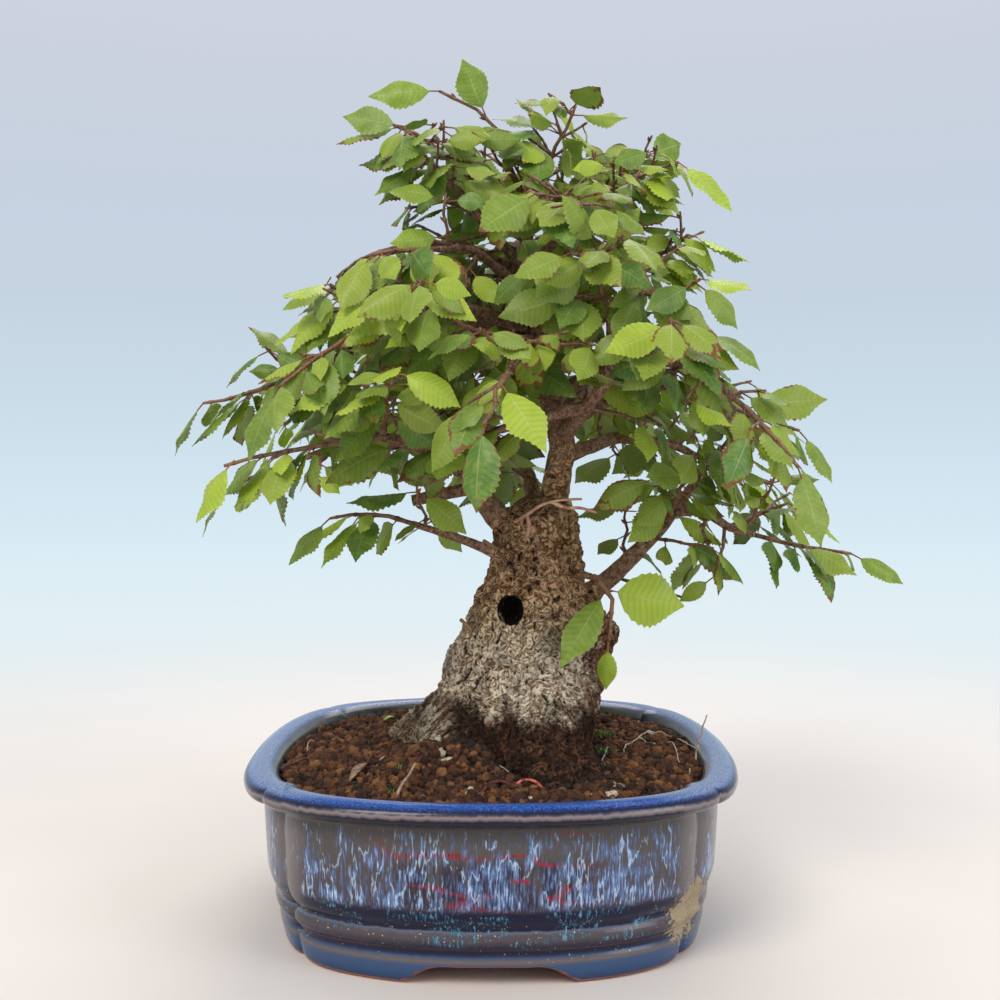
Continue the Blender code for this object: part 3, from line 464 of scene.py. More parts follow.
    @staticmethod
    def drips(graph: Graph, colour: Any, place: Any) -> NodeSocket:
        """Teal drips and rusty flecks on the mouldings, over the colour that is there."""
        z = graph.parts(place)[2]
        bunch = graph.noise(graph.vector("MULTIPLY", place, (0.024, 0.024, 0.10)), 2.6, 2.0, 0.4)
        thread = graph.effect(Effect.STREAKS, Place=place, Across=1.1, Along=0.09)[0]
        teal = graph.mix(graph.ease(thread, 0.56, 0.68), "2a6480", "68aebe")
        drip = graph.all_of(graph.ease(bunch, 0.54, 0.62), graph.ease(thread, 0.50, 0.60), 0.75)
        colour = graph.over(colour, teal, graph.band(z, (8.0, 13.0), (24.0, 28.0)), drip)
        fleck, tone = graph.effect(Effect.FLECKS, Place=place, Scale=1.1, Share=0.07)
        rusty = graph.mix(tone, "9a6c3e", "c9b890")
        return graph.over(colour, rusty, fleck, graph.band(z, (3.0, 8.0), (20.0, 27.0)))


@dataclass(frozen=True)
class Plastic(Finish):
    """Dusty black plastic of the drain screens."""

    name: str = "dusty screen plastic"
    roughness: float = 0.5

    def paint(self, graph: Graph, shader: Node) -> None:
        """Black with a film of soil dust."""
        dust = graph.mottle(graph.millimetres(), 0.4)
        graph.fill(shader, {"Base Color": graph.over("141414", "4a3a2c", dust, 0.5)})


@dataclass(frozen=True)
class Loam(Finish):
    """Fine dark soil between the granules."""

    name: str = "fine dark soil"
    roughness: float = 0.95

    def paint(self, graph: Graph, shader: Node) -> None:
        """Dark brown crumbs."""
        place = graph.millimetres()
        crumbs = graph.noise(place, 0.9, 6.0, 0.7)
        colour = graph.mix(graph.ease(crumbs, 0.3, 0.7), "1f120b", "55331d")
        graph.fill(shader, {"Base Color": colour, "Normal": graph.bump(crumbs, 1.2)})


@dataclass(frozen=True)
class Granule(Finish):
    """Fired clay granules, each with its own tone, some cream and some damp."""

    name: str = "clay granules"
    roughness: float = 0.93

    def paint(self, graph: Graph, shader: Node) -> None:
        """The tone comes from the grain attribute: tone, cream share, damp share."""
        place = graph.millimetres()
        tone, cream, damp = list(graph.parts(graph.attribute("grain")))
        stops = ((0.0, "26140a"), (0.35, "4c2a16"), (0.75, "6f4422"), (1.0, "986638"))
        colour = graph.ramp(tone, stops)
        dust = graph.noise(place, 0.9, 6.0, 0.7)
        colour = graph.over(colour, "a67848", graph.ease(dust, 0.54, 0.72), 0.6)
        colour = graph.over(colour, "1f110a", graph.ease(dust, 0.48, 0.30), 0.8)
        colour = graph.over(colour, graph.mix(graph.ease(dust, 0.35, 0.6), "a08a68", "e9dfc6"), cream)
        colour = graph.over(colour, graph.mix(graph.ease(dust, 0.4, 0.7), "120b08", "3b261a"), damp)
        graph.fill(shader, {"Base Color": colour, "Normal": graph.bump(dust, 1.6)})


@dataclass(frozen=True)
class Bark(Finish):
    """Shaggy trunk bark that turns to smooth grey-brown rind on the limbs."""

    name: str = "shaggy bark"
    roughness: float = 0.92
    shine: float = 0.15
    knot: Point = (0.0, 0.0, 0.0)
    knot_half: Point = (1.0, 1.0, 1.0)

    def paint(self, graph: Graph, shader: Node) -> None:
        """Reads bark (relief, how far the place is trunk) and lays old bark over the limbs' rind."""
        shader.inputs["Specular IOR Level"].default_value = self.shine
        place = graph.millimetres()
        relief, trunk = list(graph.parts(graph.attribute("bark")))[:2]
        spots = graph.mottle(place, 0.19)
        fine = graph.noise(place, 0.55, 7.0, 0.72)
        crumbs = graph.noise(place, 1.3, 5.0, 0.7)
        swirl = {"Vector": place, "Scale": 0.21, "Detail": 6.0, "Roughness": 0.66, "Distortion": 3.0}
        curl = graph.add("TexNoise", swirl).outputs[0]
        flake = graph.ease(curl, 0.42, 0.54)

        # Smooth rind with spots and small dark cracks.
        rind = graph.mix(graph.ease(fine, 0.36, 0.62), "6e4c38", "c6a284")
        rind = graph.over(rind, "8d5a42", spots, 0.35)
        rind = graph.over(rind, "4f3a2c", graph.ease(crumbs, 0.48, 0.30))

        # Old bark, darker in its gaps and hollows, and black in the knot hole.
        old = self.old_bark(graph, place, flake, (spots, fine, crumbs))
        old = graph.over(old, "4a2c1a", graph.ease(graph.noise(place, 0.10, 4.0), 0.52, 0.40), 0.42)
        old = graph.over(old, "1f1009", graph.ease(curl, 0.42, 0.35), 0.90)
        old = graph.over(old, "1c110b", graph.ease(relief, 0.36, 0.18), 0.85)
        colour = graph.mix(trunk, rind, old)
        from_knot = graph.vector("DIVIDE", graph.vector("SUBTRACT", place, self.knot), self.knot_half)
        hole = graph.ease(graph.scaled(spots, 0.12, graph.distance(from_knot)), 1.16, 1.08)
        colour = graph.over(colour, "0b0605", hole, 0.98)

        # Flakes stand out on the trunk, and both barks are rough.
        shag = graph.all_of(graph.scaled(flake, 1.5), trunk)
        rough = graph.maths("ADD", shag, graph.scaled(fine, 1.6, crumbs))
        graph.fill(shader, {"Base Color": colour, "Normal": graph.bump(rough, 1.0)})

    @staticmethod
    def old_bark(graph: Graph, place: Any, flake: Any, noises: Sequence[Any]) -> NodeSocket:
        """The trunk's flakes: brown above, a pale belt, rusty sides, a damp foot and a bleached root.

        Args:
            graph: The material's nodes.
            place: The place in millimetres.
            flake: The mask of the flakes' raised faces.
            noises: The spots, the fine noise and the crumbs.

        Returns:
            The colour of the trunk's bark.
        """
        spots, fine, crumbs = noises
        x, _, z = list(graph.parts(place))
        patch = graph.mottle(place, 0.05)
        upper = graph.mix(flake, "a86e46", "f8cc9c")
        upper = graph.over(upper, "a8563a", spots, graph.ease(crumbs, 0.48, 0.62), 0.7)
        upper = graph.over(upper, "77704a", patch, graph.ease(fine, 0.54, 0.66), 0.35)
        height = graph.maths("ADD", z, graph.scaled(patch, 10.0, graph.scaled(fine, 14.0, -12.0)))
        colour = graph.over(upper, graph.mix(flake, "a0764c", "f6dab0"), graph.ease(height, 142.0, 120.0))
        belt = graph.all_of(graph.ease(height, 126.0, 108.0), graph.ease(x, 60.0, 40.0))
        pale = graph.mix(crumbs, "f0d8b2", "fff6e4")
        colour = graph.over(colour, pale, belt, flake, graph.ease(fine, 0.30, 0.46), 0.95)
        rusty = graph.mix(flake, "3a1c12", "a25f42")
        edge = graph.all_of(graph.ease(x, 34.0, 47.0), graph.band(z, (60.0, 80.0), (124.0, 138.0)))
        colour = graph.over(colour, rusty, edge, graph.ease(spots, 0.1, 0.6), 0.9)
        left = graph.all_of(graph.ease(x, -8.0, -20.0), graph.ease(z, 112.0, 98.0))
        colour = graph.over(colour, rusty, left, spots, 0.6)
        root = graph.ease(x, -14.0, -28.0)
        soaked = graph.mix(graph.ease(fine, 0.40, 0.68), "100603", "4c2512")
        soaked = graph.over(soaked, "8a5a3c", flake, graph.ease(spots, 0.4, 0.9), 0.55)
        damp = graph.all_of(graph.ease(height, 93.0, 84.0), graph.scaled(root, -0.75, 1.0))
        colour = graph.over(colour, soaked, damp, 0.96)
        drawn = {"Vector": place, "Rotation": (0.0, -math.pi / 4, 0.0), "Scale": (16.0, 3.2, 1.7)}
        fibre = graph.noise(graph.add("Mapping", drawn, vector_type="TEXTURE").outputs[0], 1.0, 5.0)
        strands = graph.mix(graph.ease(fibre, 0.44, 0.56), "644028", "f8e8cc")
        return graph.over(colour, strands, root, graph.band(z, (70.0, 78.0), (88.0, 98.0)), 0.8)


@dataclass(frozen=True)
class Twig(Finish):
    """Thin red-brown rind of this year's and last year's twigs."""

    name: str = "young twig rind"
    roughness: float = 0.55
    dark: str = "4d3526"
    light: str = "8e6e50"
    bright: str = "85502f"

    def paint(self, graph: Graph, shader: Node) -> None:
        """Red-brown with pale pores."""
        place = graph.millimetres()
        colour = graph.mix(graph.mottle(place, 0.35), self.dark, self.light)
        colour = graph.over(colour, self.bright, graph.mottle(place, 0.07), 0.6)
        pore = graph.effect(Effect.FLECKS, Place=place, Scale=1.6, Share=0.3)[0]
        colour = graph.over(colour, "c9ab8c", pore, 0.6)
        graph.fill(shader, {"Base Color": colour, "Normal": graph.bump(graph.noise(place, 1.6), 0.25)})


@dataclass(frozen=True)
class Blade(Finish):
    """Hornbeam leaf: pleated veins, pale toothed margin, scorched edges, paler underside."""

    name: str = "hornbeam leaf"
    roughness: float = 0.38
    veins: float = 11.0
    glow: float = 0.36

    def paint(self, graph: Graph, shader: Node) -> None:
        """Reads blade (across, along, layer) and leaf (youth, scorch, tone)."""
        place = graph.millimetres()
        across, along, layer = list(graph.parts(graph.attribute("blade")))
        youth, scorch, tone = list(graph.parts(graph.attribute("leaf")))
        aside = graph.maths("ABSOLUTE", across)
        cloud = graph.noise(place, 0.22, 4.0)
        green = graph.mix(tone, "5c8630", "a8b83c")
        green = graph.over(green, "b2c65c", graph.ease(cloud, 0.35, 0.7), 0.45)
        green = graph.over(green, graph.mix(cloud, "aac836", "d6e254"), youth)
        wave = graph.maths("COSINE", graph.scaled(along, math.tau * self.veins))
        # The darker green between the veins is painted shade of the pleats.
        green = graph.over(green, graph.mix(0.14, green, "2c562a"), graph.ease(wave, 0.0, -1.0))
        line = graph.all_of(graph.ease(wave, 0.90, 0.99), 0.50)
        middle = graph.ease(aside, 0.07, 0.03)
        vein = graph.all_of(graph.maths("MAXIMUM", line, middle), graph.ease(along, 1.0, 0.9))
        green = graph.over(green, "ced892", vein, 0.32)
        green = graph.over(green, "cfc768", graph.ease(aside, 0.90, 1.0), 0.30)
        green = graph.over(green, "aec088", graph.ease(layer, 0.2, -0.6), 0.42)
        rim = graph.maths("MAXIMUM", aside, along)
        burnt = graph.maths("ADD", rim, graph.scaled(cloud, 0.95, graph.scaled(scorch, 0.36, -0.475)))
        rust = graph.mix(graph.noise(place, 0.9), "5a2c16", "b06f3c")
        green = graph.over(green, rust, graph.ease(burnt, 1.12, 1.19), graph.ease(scorch, 0.02, 0.12))
        stalk = graph.mix(youth, "8f5a3c", "b9793f")
        colour = graph.over(green, stalk, graph.ease(along, 0.0, -0.02))
        relief = graph.scaled(graph.noise(place, 1.7, 3.0), 0.7, graph.scaled(vein, -0.8))
        normal = graph.bump(relief, 0.14)
        graph.fill(shader, {"Base Color": colour, "Normal": normal})
        through = {"Color": graph.mix(0.35, colour, "c8e04a"), "Normal": normal}
        graph.blend(self.glow, shader, graph.add("BsdfTranslucent", through))


@dataclass(frozen=True)
class Strand(Finish):
    """Thin plant matter of one colour range, such as rootlets, straw or moss."""

    name: str = "pale rootlet"
    roughness: float = 0.7
    dark: str = "8d765f"
    light: str = "d8c7b0"

    def paint(self, graph: Graph, shader: Node) -> None:
        """Two tones in small patches."""
        patch = graph.mottle(graph.millimetres(), 0.5)
        graph.fill(shader, {"Base Color": graph.mix(patch, self.dark, self.light)})


@dataclass(frozen=True)
class Floor(Finish):
    """Plain pale floor."""

    name: str = "plain pale floor"
    roughness: float = 0.75
    near: str = "d9d1c8"
    far: str = "e2eff4"
    # The reach in millimetres over which the floor takes the sky's tone.
    fade: Point = (230.0, 1150.0)

    def paint(self, graph: Graph, shader: Node) -> None:
        """One pale tone that turns evenly into the sky's far away."""
        place = graph.millimetres()
        graph.fill(shader, {"Base Color": graph.mix(graph.noise(place, 0.01, 2.0), self.near, "ded7cf")})
        glow = graph.add("Emission", {"Color": tint(self.far)})
        graph.blend(graph.ease(graph.distance(place), *self.fade), shader, glow)


RIND = Twig()
BARE_RIND = Twig("bare twig rind", 0.6, "8f6450", "c9a486", "b0705a")
LEAF = Blade()
MOSS = Strand("moss", 0.8, "2f4a1c", "6f9440")
SPROUT = Strand("young sprout", 0.5, "5f9434", "a4cc50")
ROOTLET = Strand()
RED_ROOT = Strand("red root", 0.5, "8a2f22", "d9705c")
DARK_ROOT = Strand("dark root", 0.8, "2c1510", "6b3226")
STRAW = Strand("dry straw", 0.6, "8a7440", "cdb981")
DRY_LEAF = Strand("dry leaf", 0.7, "5d4033", "a58567")
DRY_TWIG = Strand("dry twig", 0.7, "8d705c", "c9ae96")


def skin(bm: BMesh, rings: Sequence[Sequence[Vector]]) -> list[list[BMVert]]:
    """Skins a closed body over rings that have as many points each.

    Args:
        bm: The mesh that the body is added to.
        rings: The points of each ring, in metres.

    Returns:
        The body's vertices, ring by ring and in the order of the points. They
        are lost once another body is added.
    """
    sides, count = len(rings[0]), len(rings)
    before = len(bm.verts)
    bmesh.ops.create_cone(bm, cap_ends=True, segments=sides, radius1=1.0, radius2=1.0, depth=1.0)
    bm.verts.ensure_lookup_table()
    if count > 2:
        edges = dict.fromkeys(edge for vert in bm.verts[before:] for edge in vert.link_edges)
        upright = [edge for edge in edges if abs(edge.verts[0].co.z - edge.verts[1].co.z) > 0.5]
        bmesh.ops.subdivide_edges(bm, edges=upright, cuts=count - 2)
        bm.verts.ensure_lookup_table()
    grid = [[bm.verts[before]] * sides for _ in range(count)]
    for vert in bm.verts[before:]:
        side = round(math.atan2(vert.co.x, vert.co.y) * sides / math.tau) % sides
        grid[round((vert.co.z + 0.5) * (count - 1))][side] = vert
    for row, points in zip(grid, rings):
        for vert, point in zip(row, points):
            vert.co = point
    return grid


def tube(bm: BMesh, route: Sequence[Vector], radii: Sequence[float], sides: int) -> list[list[BMVert]]:
    """A closed round tube along a route, with a radius at each point."""
    aside = (route[1] - route[0]).orthogonal()
    rings = []
    for count, (place, radius) in enumerate(zip(route, radii)):
        ahead = (route[min(count + 1, len(route) - 1)] - route[max(count - 1, 0)]).normalized()
        aside = (aside - ahead * aside.dot(ahead)).normalized()
        above = ahead.cross(aside)
        turns = [math.tau * side / sides for side in range(sides)]
        rings.append([place + (aside * math.cos(turn) + above * math.sin(turn)) * radius for turn in turns])
    return skin(bm, rings)


def paint(grid: Sequence[Sequence[BMVert]], number: int) -> None:
    """Gives a body's faces a material number."""
    for face in {face for row in grid for vert in row for face in vert.link_faces}:
        face.material_index = number


def along(route: Sequence[Vector], share: float) -> tuple[Vector, Vector]:
    """The place and direction at a share of a route's length."""
    lengths = [(b - a).length for a, b in zip(route, route[1:])]
    left = share * sum(lengths)
    for a, b, length in zip(route, route[1:], lengths):
        if left <= length:
            return a.lerp(b, left / length), (b - a).normalized()
        left -= length
    return route[-1], (route[-1] - route[-2]).normalized()


def length_of(route: Sequence[Vector]) -> float:
    """The length of a route."""
    return sum((b - a).length for a, b in zip(route, route[1:]))


def rounded(points: Sequence[Vector], passes: int) -> list[Vector]:
    """The points with their bends rounded off and both ends kept."""
    for _ in range(passes):
        middle = [(a + 2 * b + c) / 4 for a, b, c in zip(points, points[1:], points[2:])]
        points = [points[0], *middle, points[-1]]
    return list(points)


def eased_route(route: Sequence[Vector], step: float) -> list[Vector]:
    """Evenly spaced points along a route, with its bends rounded off."""
    count = max(3, round(length_of(route) / step))
    return rounded([along(route, share / count)[0] for share in range(count + 1)], 2)


def jitter(draw: random.Random, reach: float) -> Vector:
    """A random vector with each part within reach of 0."""
    return Vector([draw.uniform(-reach, reach) for _ in range(3)])


def linked(name: str, data: Any) -> Object:
    """A new object in the scene."""
    made = bpy.data.objects.new(name, data)
    bpy.context.scene.collection.objects.link(made)
    return made


def new_mesh(name: str, bm: BMesh) -> Mesh:
    """A smooth mesh from the bmesh, with its faces turned outwards."""
    bmesh.ops.recalc_face_normals(bm, faces=bm.faces)
    for face in bm.faces:
        face.smooth = True
    mesh = bpy.data.meshes.new(name)
    bm.to_mesh(mesh)
    bm.free()
    return mesh


def tube_mesh(name: str, route: Sequence[Vector], radii: Sequence[float], sides: int) -> Mesh:
    """A mesh of one tube."""
    bm = bmesh.new()
    tube(bm, route, radii, sides)
    return new_mesh(name, bm)


def add_piece(name: str, mesh: Mesh, finishes: Sequence[Finish], slot: Slot, *stands_for: str) -> Object:
    """Puts a finished piece in the scene.

    Args:
        name: The piece's name.
        mesh: Its mesh, with its place in its vertices.
        finishes: Its finishes, in the order of the mesh's material numbers.
        slot: The record's slot for the piece. It is not used.
        stands_for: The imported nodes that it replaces.

    Returns:
        The piece's object, which rides on the root body.
    """
    piece = linked(name, mesh)
    if mesh.materials:
        mesh.materials.clear()
    for finish in finishes:
        mesh.materials.append(finish.material())
    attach(piece, "root")
    if stands_for:
        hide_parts(*stands_for)
    log.info("%s: %d faces", name, len(mesh.polygons))
    return piece


def combined(base: Mesh, others: Sequence[Mesh], operation: str) -> Mesh:
    """Adds solids to a base, or takes them out of it.

    Args:
        base: The first solid.
        others: The solids that are added or taken out.
        operation: UNION or DIFFERENCE.

    Returns:
        The new mesh.
    """
    shape = linked("base", base)
    group = bpy.data.collections.new("others")
    bpy.context.scene.collection.children.link(group)
    for mesh in others:
        group.objects.link(bpy.data.objects.new("other", mesh))
    work = shape.modifiers.new("Combine", "BOOLEAN")
    work.operation = operation
    work.operand_type = "COLLECTION"
    work.collection = group
    work.solver = "MANIFOLD"
    made = bpy.data.meshes.new_from_object(shape.evaluated_get(bpy.context.evaluated_depsgraph_get()))
    for used in [shape, *group.objects]:
        bpy.data.objects.remove(used)
    bpy.data.collections.remove(group)
    return made


class Surface:
    """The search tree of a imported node."""

    def __init__(self, node: str) -> None:
        """Reads the node's mesh."""
        mesh = frame["nodes"][node].data
        points = [vert.co.copy() for vert in mesh.vertices]
        self.tree = BVHTree.FromPolygons(points, [tuple(face.vertices) for face in mesh.polygons])

    def height(self, x: float, y: float) -> float:
        """The height of the surface from above at a place, or 0 where there is none."""
        hit = self.tree.ray_cast(Vector((x, y, 1.0)), -UP)[0]
        return hit.z if hit else 0.0

    def distance(self, point: Vector) -> float:
        """How far the surface is from a point."""
        return self.tree.find_nearest(point)[3]


@dataclass
class View:
    """The photograph's camera, in metres and image points of a 1000 by 1000 picture."""

    place: Vector = field(default_factory=lambda: POT_PLACE + Vector((0.0037, -0.5592, 0.1874)))
    pitch: float = 0.0165
    focal: float = 1216.55
    size: float = 1000.0
    sensor: float = 36.0

    def ray(self, u: float, v: float) -> Vector:
        """The way from the camera through an image point."""
        flat = Vector(((u - self.size / 2) / self.focal, 1.0, (self.size / 2 - v) / self.focal))
        flat.rotate(Matrix.Rotation(-self.pitch, 3, "X"))
        return flat

    def at_depth(self, u: float, v: float, y: float) -> Vector:
        """The point seen at an image point, at a depth in millimetres from the pot's middle."""
        ray = self.ray(u, v)
        return self.place + ray * ((placed((0.0, y, 0.0)).y - self.place.y) / ray.y)

    def seen(self, point: Vector) -> tuple[float, float]:
        """Where a point shows on the upright plane through the pot's middle, in millimetres."""
        share = (POT_PLACE.y - self.place.y) / (point.y - self.place.y)
        shown = from_pot(self.place + (point - self.place) * share)
        return shown.x, shown.z

    def camera(self) -> None:
        """Makes it the scene's camera."""
        data = bpy.data.cameras.new("photo_camera")
        data.sensor_width = self.sensor
        data.lens = self.focal * self.sensor / self.size
        data.clip_start = 0.01
        shape = linked("photo_camera", data)
        shape.location = self.place
        shape.rotation_euler = Euler((math.pi / 2 - self.pitch, 0.0, 0.0))
        bpy.context.scene.camera = shape


@dataclass
class Studio:
    """Plain pale floor and soft light from large panels and a pale sky."""

    floor_half: float = 1.25
    # Colour by the height of the view direction, measured from low_sky over sky_span.
    sky: tuple[tuple[float, str], ...] = (
        (0.03, "e2eff4"), (0.09, "dcedf5"), (0.17, "d4e7f2"), (0.31, "cadce7"), (0.44, "c6d4e2"),
        (0.57, "c7d2e1"), (0.70, "cad2de"), (0.79, "ced3e0"),
    )
    low_sky: float = 0.12
    sky_span: float = 0.60
    aim: Point = (0.0, 0.0, 0.18)
    # Place in metres, size in metres, power in watts and colour of each light panel.
    panels: tuple[tuple[Point, float, float, str], ...] = (
        ((-1.3, -2.0, 2.4), 1.4, 60.0, "fff8ee"),
        ((2.0, -1.4, 1.3), 1.4, 24.0, "f6f8ff"),
        ((0.3, 1.8, 2.4), 1.8, 36.0, "fffaf2"),
    )

    def build(self) -> None:
        """Makes the floor, the sky and the light panels."""
        bm = bmesh.new()
        bmesh.ops.create_grid(bm, x_segments=8, y_segments=8, size=self.floor_half)
        mesh = new_mesh("floor", bm)
        mesh.materials.append(Floor().material())
        linked("floor", mesh)
        for count, (place, size, power, colour) in enumerate(self.panels):
            lamp = bpy.data.lights.new(f"panel_{count}", "AREA")
            lamp.size = size
            lamp.energy = power
            lamp.color = tint(colour)[:3]
            shape = linked(f"panel_{count}", lamp)
            shape.location = place
            shape.rotation_euler = (Vector(self.aim) - Vector(place)).to_track_quat("-Z", "Y").to_euler()
        world = bpy.data.worlds.new("pale_sky")
        world.use_nodes = True
        graph = Graph(world.node_tree)
        height = graph.parts(graph.add("TexCoord").outputs["Generated"])[2]
        level = graph.scaled(height, 1 / self.sky_span, self.low_sky / self.sky_span)
        graph.fill(world.node_tree.nodes["Background"], {"Color": graph.ramp(level, self.sky)})
        bpy.context.scene.world = world
        bpy.context.scene.view_settings.view_transform = "Standard"


@dataclass
class Pot:
    """Mokko pot: four lobes round a nearly square plan, on four feet, with two drain holes."""

    rim_half: Point = (107.7, 117.5)
    rim_notch: Point = (90.0, 85.5)
    notch_share: float = 0.92
    flatness: float = 2.2
    swell: float = 1.2
    lobe_points: int = 50
    # Height and inset from the rim's outline, from the foot's inner edge round to the floor.
    profile: tuple[tuple[float, float], ...] = (
        (6.2, 28.0), (-4.7, 26.5), (-4.7, 17.0), (-3.5, 15.8), (4.9, 14.0), (6.3, 14.2),
        (7.2, 15.4), (9.2, 14.8), (12.1, 12.5), (15.1, 12.1), (16.9, 13.8), (18.1, 13.4),
        (21.5, 11.2), (27.0, 9.6), (50.0, 8.4), (57.0, 9.0), (58.6, 6.4), (60.0, 1.8),
        (63.0, 0.0), (65.8, 1.2), (67.5, 5.0), (67.2, 9.6), (65.0, 13.4), (62.0, 14.8),
        (30.0, 16.2), (15.0, 19.4), (12.5, 22.0),
    )
    fine_step: float = 0.9
    hidden_step: float = 6.0
    hidden_from: int = 23
    wobble: float = 0.22
    foot_low: float = -4.7
    arch_half: Point = (22.5, 35.0)
    arch_rise: float = 8.0
    arch_reach: float = 140.0
    arch_round: float = 4.0
    drain_x: float = 44.0
    drain_radius: float = 9.0
    drain_depth: float = 15.0
    floor_top: float = 12.5

    def outline(self, inset: float, height: float) -> list[Vector]:
        """The plan moved in by inset, as points at one height."""
        half = [size - inset for size in self.rim_half]
        notch = [size - inset * self.notch_share for size in self.rim_notch]
        points = []
        for turn in range(4):
            across, out = (0, 1) if turn % 2 == 0 else (1, 0)
            for step in range(self.lobe_points):
                angle = math.pi * step / self.lobe_points
                run = -math.copysign(abs(math.cos(angle)) ** (2 / self.flatness), math.cos(angle))
                reach = notch[out] + (half[out] - notch[out]) * math.sin(angle) ** self.swell
                flat = Vector((run * notch[across], -reach, height))
                flat.rotate(Matrix.Rotation(turn * math.pi / 2, 3, "Z"))
                sway = noise.noise(flat * 0.03) * self.wobble * 2
                points.append(placed(flat + Vector((flat.x, flat.y, 0.0)).normalized() * sway))
        return points

    def section(self) -> list[tuple[float, float]]:
        """The profile in small steps where it shows, with its corners eased."""
        points = [Vector(self.profile[0])]
        for count, (first, last) in enumerate(zip(self.profile, self.profile[1:]), 1):
            step = self.hidden_step if count > self.hidden_from else self.fine_step
            cuts = max(1, round((Vector(last) - Vector(first)).length / step))
            points += [Vector(first).lerp(Vector(last), cut / cuts) for cut in range(1, cuts + 1)]
        return [(max(self.foot_low, point.x), point.y) for point in rounded(points, 3)]

    def arch(self, turn: float) -> Mesh:
        """The cutter for the gap between two pairs of feet, with eased upper corners."""
        bm = bmesh.new()
        bmesh.ops.create_cube(bm, size=2.0)
        top, foot = self.arch_half
        for vert in bm.verts:
            half = top if vert.co.z > 0 else 2 * foot - top
            rise = vert.co.z * self.arch_rise + self.foot_low
            vert.co = Vector((vert.co.x * half, vert.co.y * self.arch_reach, rise))
        ends = {edge: [vert.co for vert in edge.verts] for edge in bm.edges}
        upper = [edge for edge, (a, b) in ends.items() if min(a.z, b.z) > 0 and a.x == b.x]
        bmesh.ops.bevel(
            bm, geom=upper, offset=self.arch_round, affect="EDGES", segments=6, profile=0.5, material=-1
        )
        bmesh.ops.rotate(bm, verts=bm.verts, matrix=Matrix.Rotation(turn, 3, "Z"))
        for vert in bm.verts:
            vert.co = placed(vert.co)
        return new_mesh("arch", bm)

    def drain(self, side: int) -> Mesh:
        """The cutter for one drain hole."""
        low, high = self.floor_top - self.drain_depth, self.floor_top + self.drain_depth
        route = [placed((side * self.drain_x, 0.0, height)) for height in (low, high)]
        return tube_mesh("drain", route, [self.drain_radius * MM] * 2, 40)

    def build(self) -> None:
        """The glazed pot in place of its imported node."""
        bm = bmesh.new()
        skin(bm, [self.outline(inset, height) for height, inset in self.section()])
        cutters = [self.arch(0.0), self.arch(math.pi / 2), self.drain(-1), self.drain(1)]
        made = combined(new_mesh("pot_body", bm), cutters, "DIFFERENCE")
        add_piece("mokko_pot", made, [Glaze()], Slot.GLAZE, "pot")


@dataclass
class Scrap:
    """One thin thing on the soil: its finish, radius, lift and image points, and whether it stands."""

    name: str
    finish: Finish
    radius: float
    points: tuple[Point, ...]
    stands: bool = False
    slot: Slot = Slot.SOIL


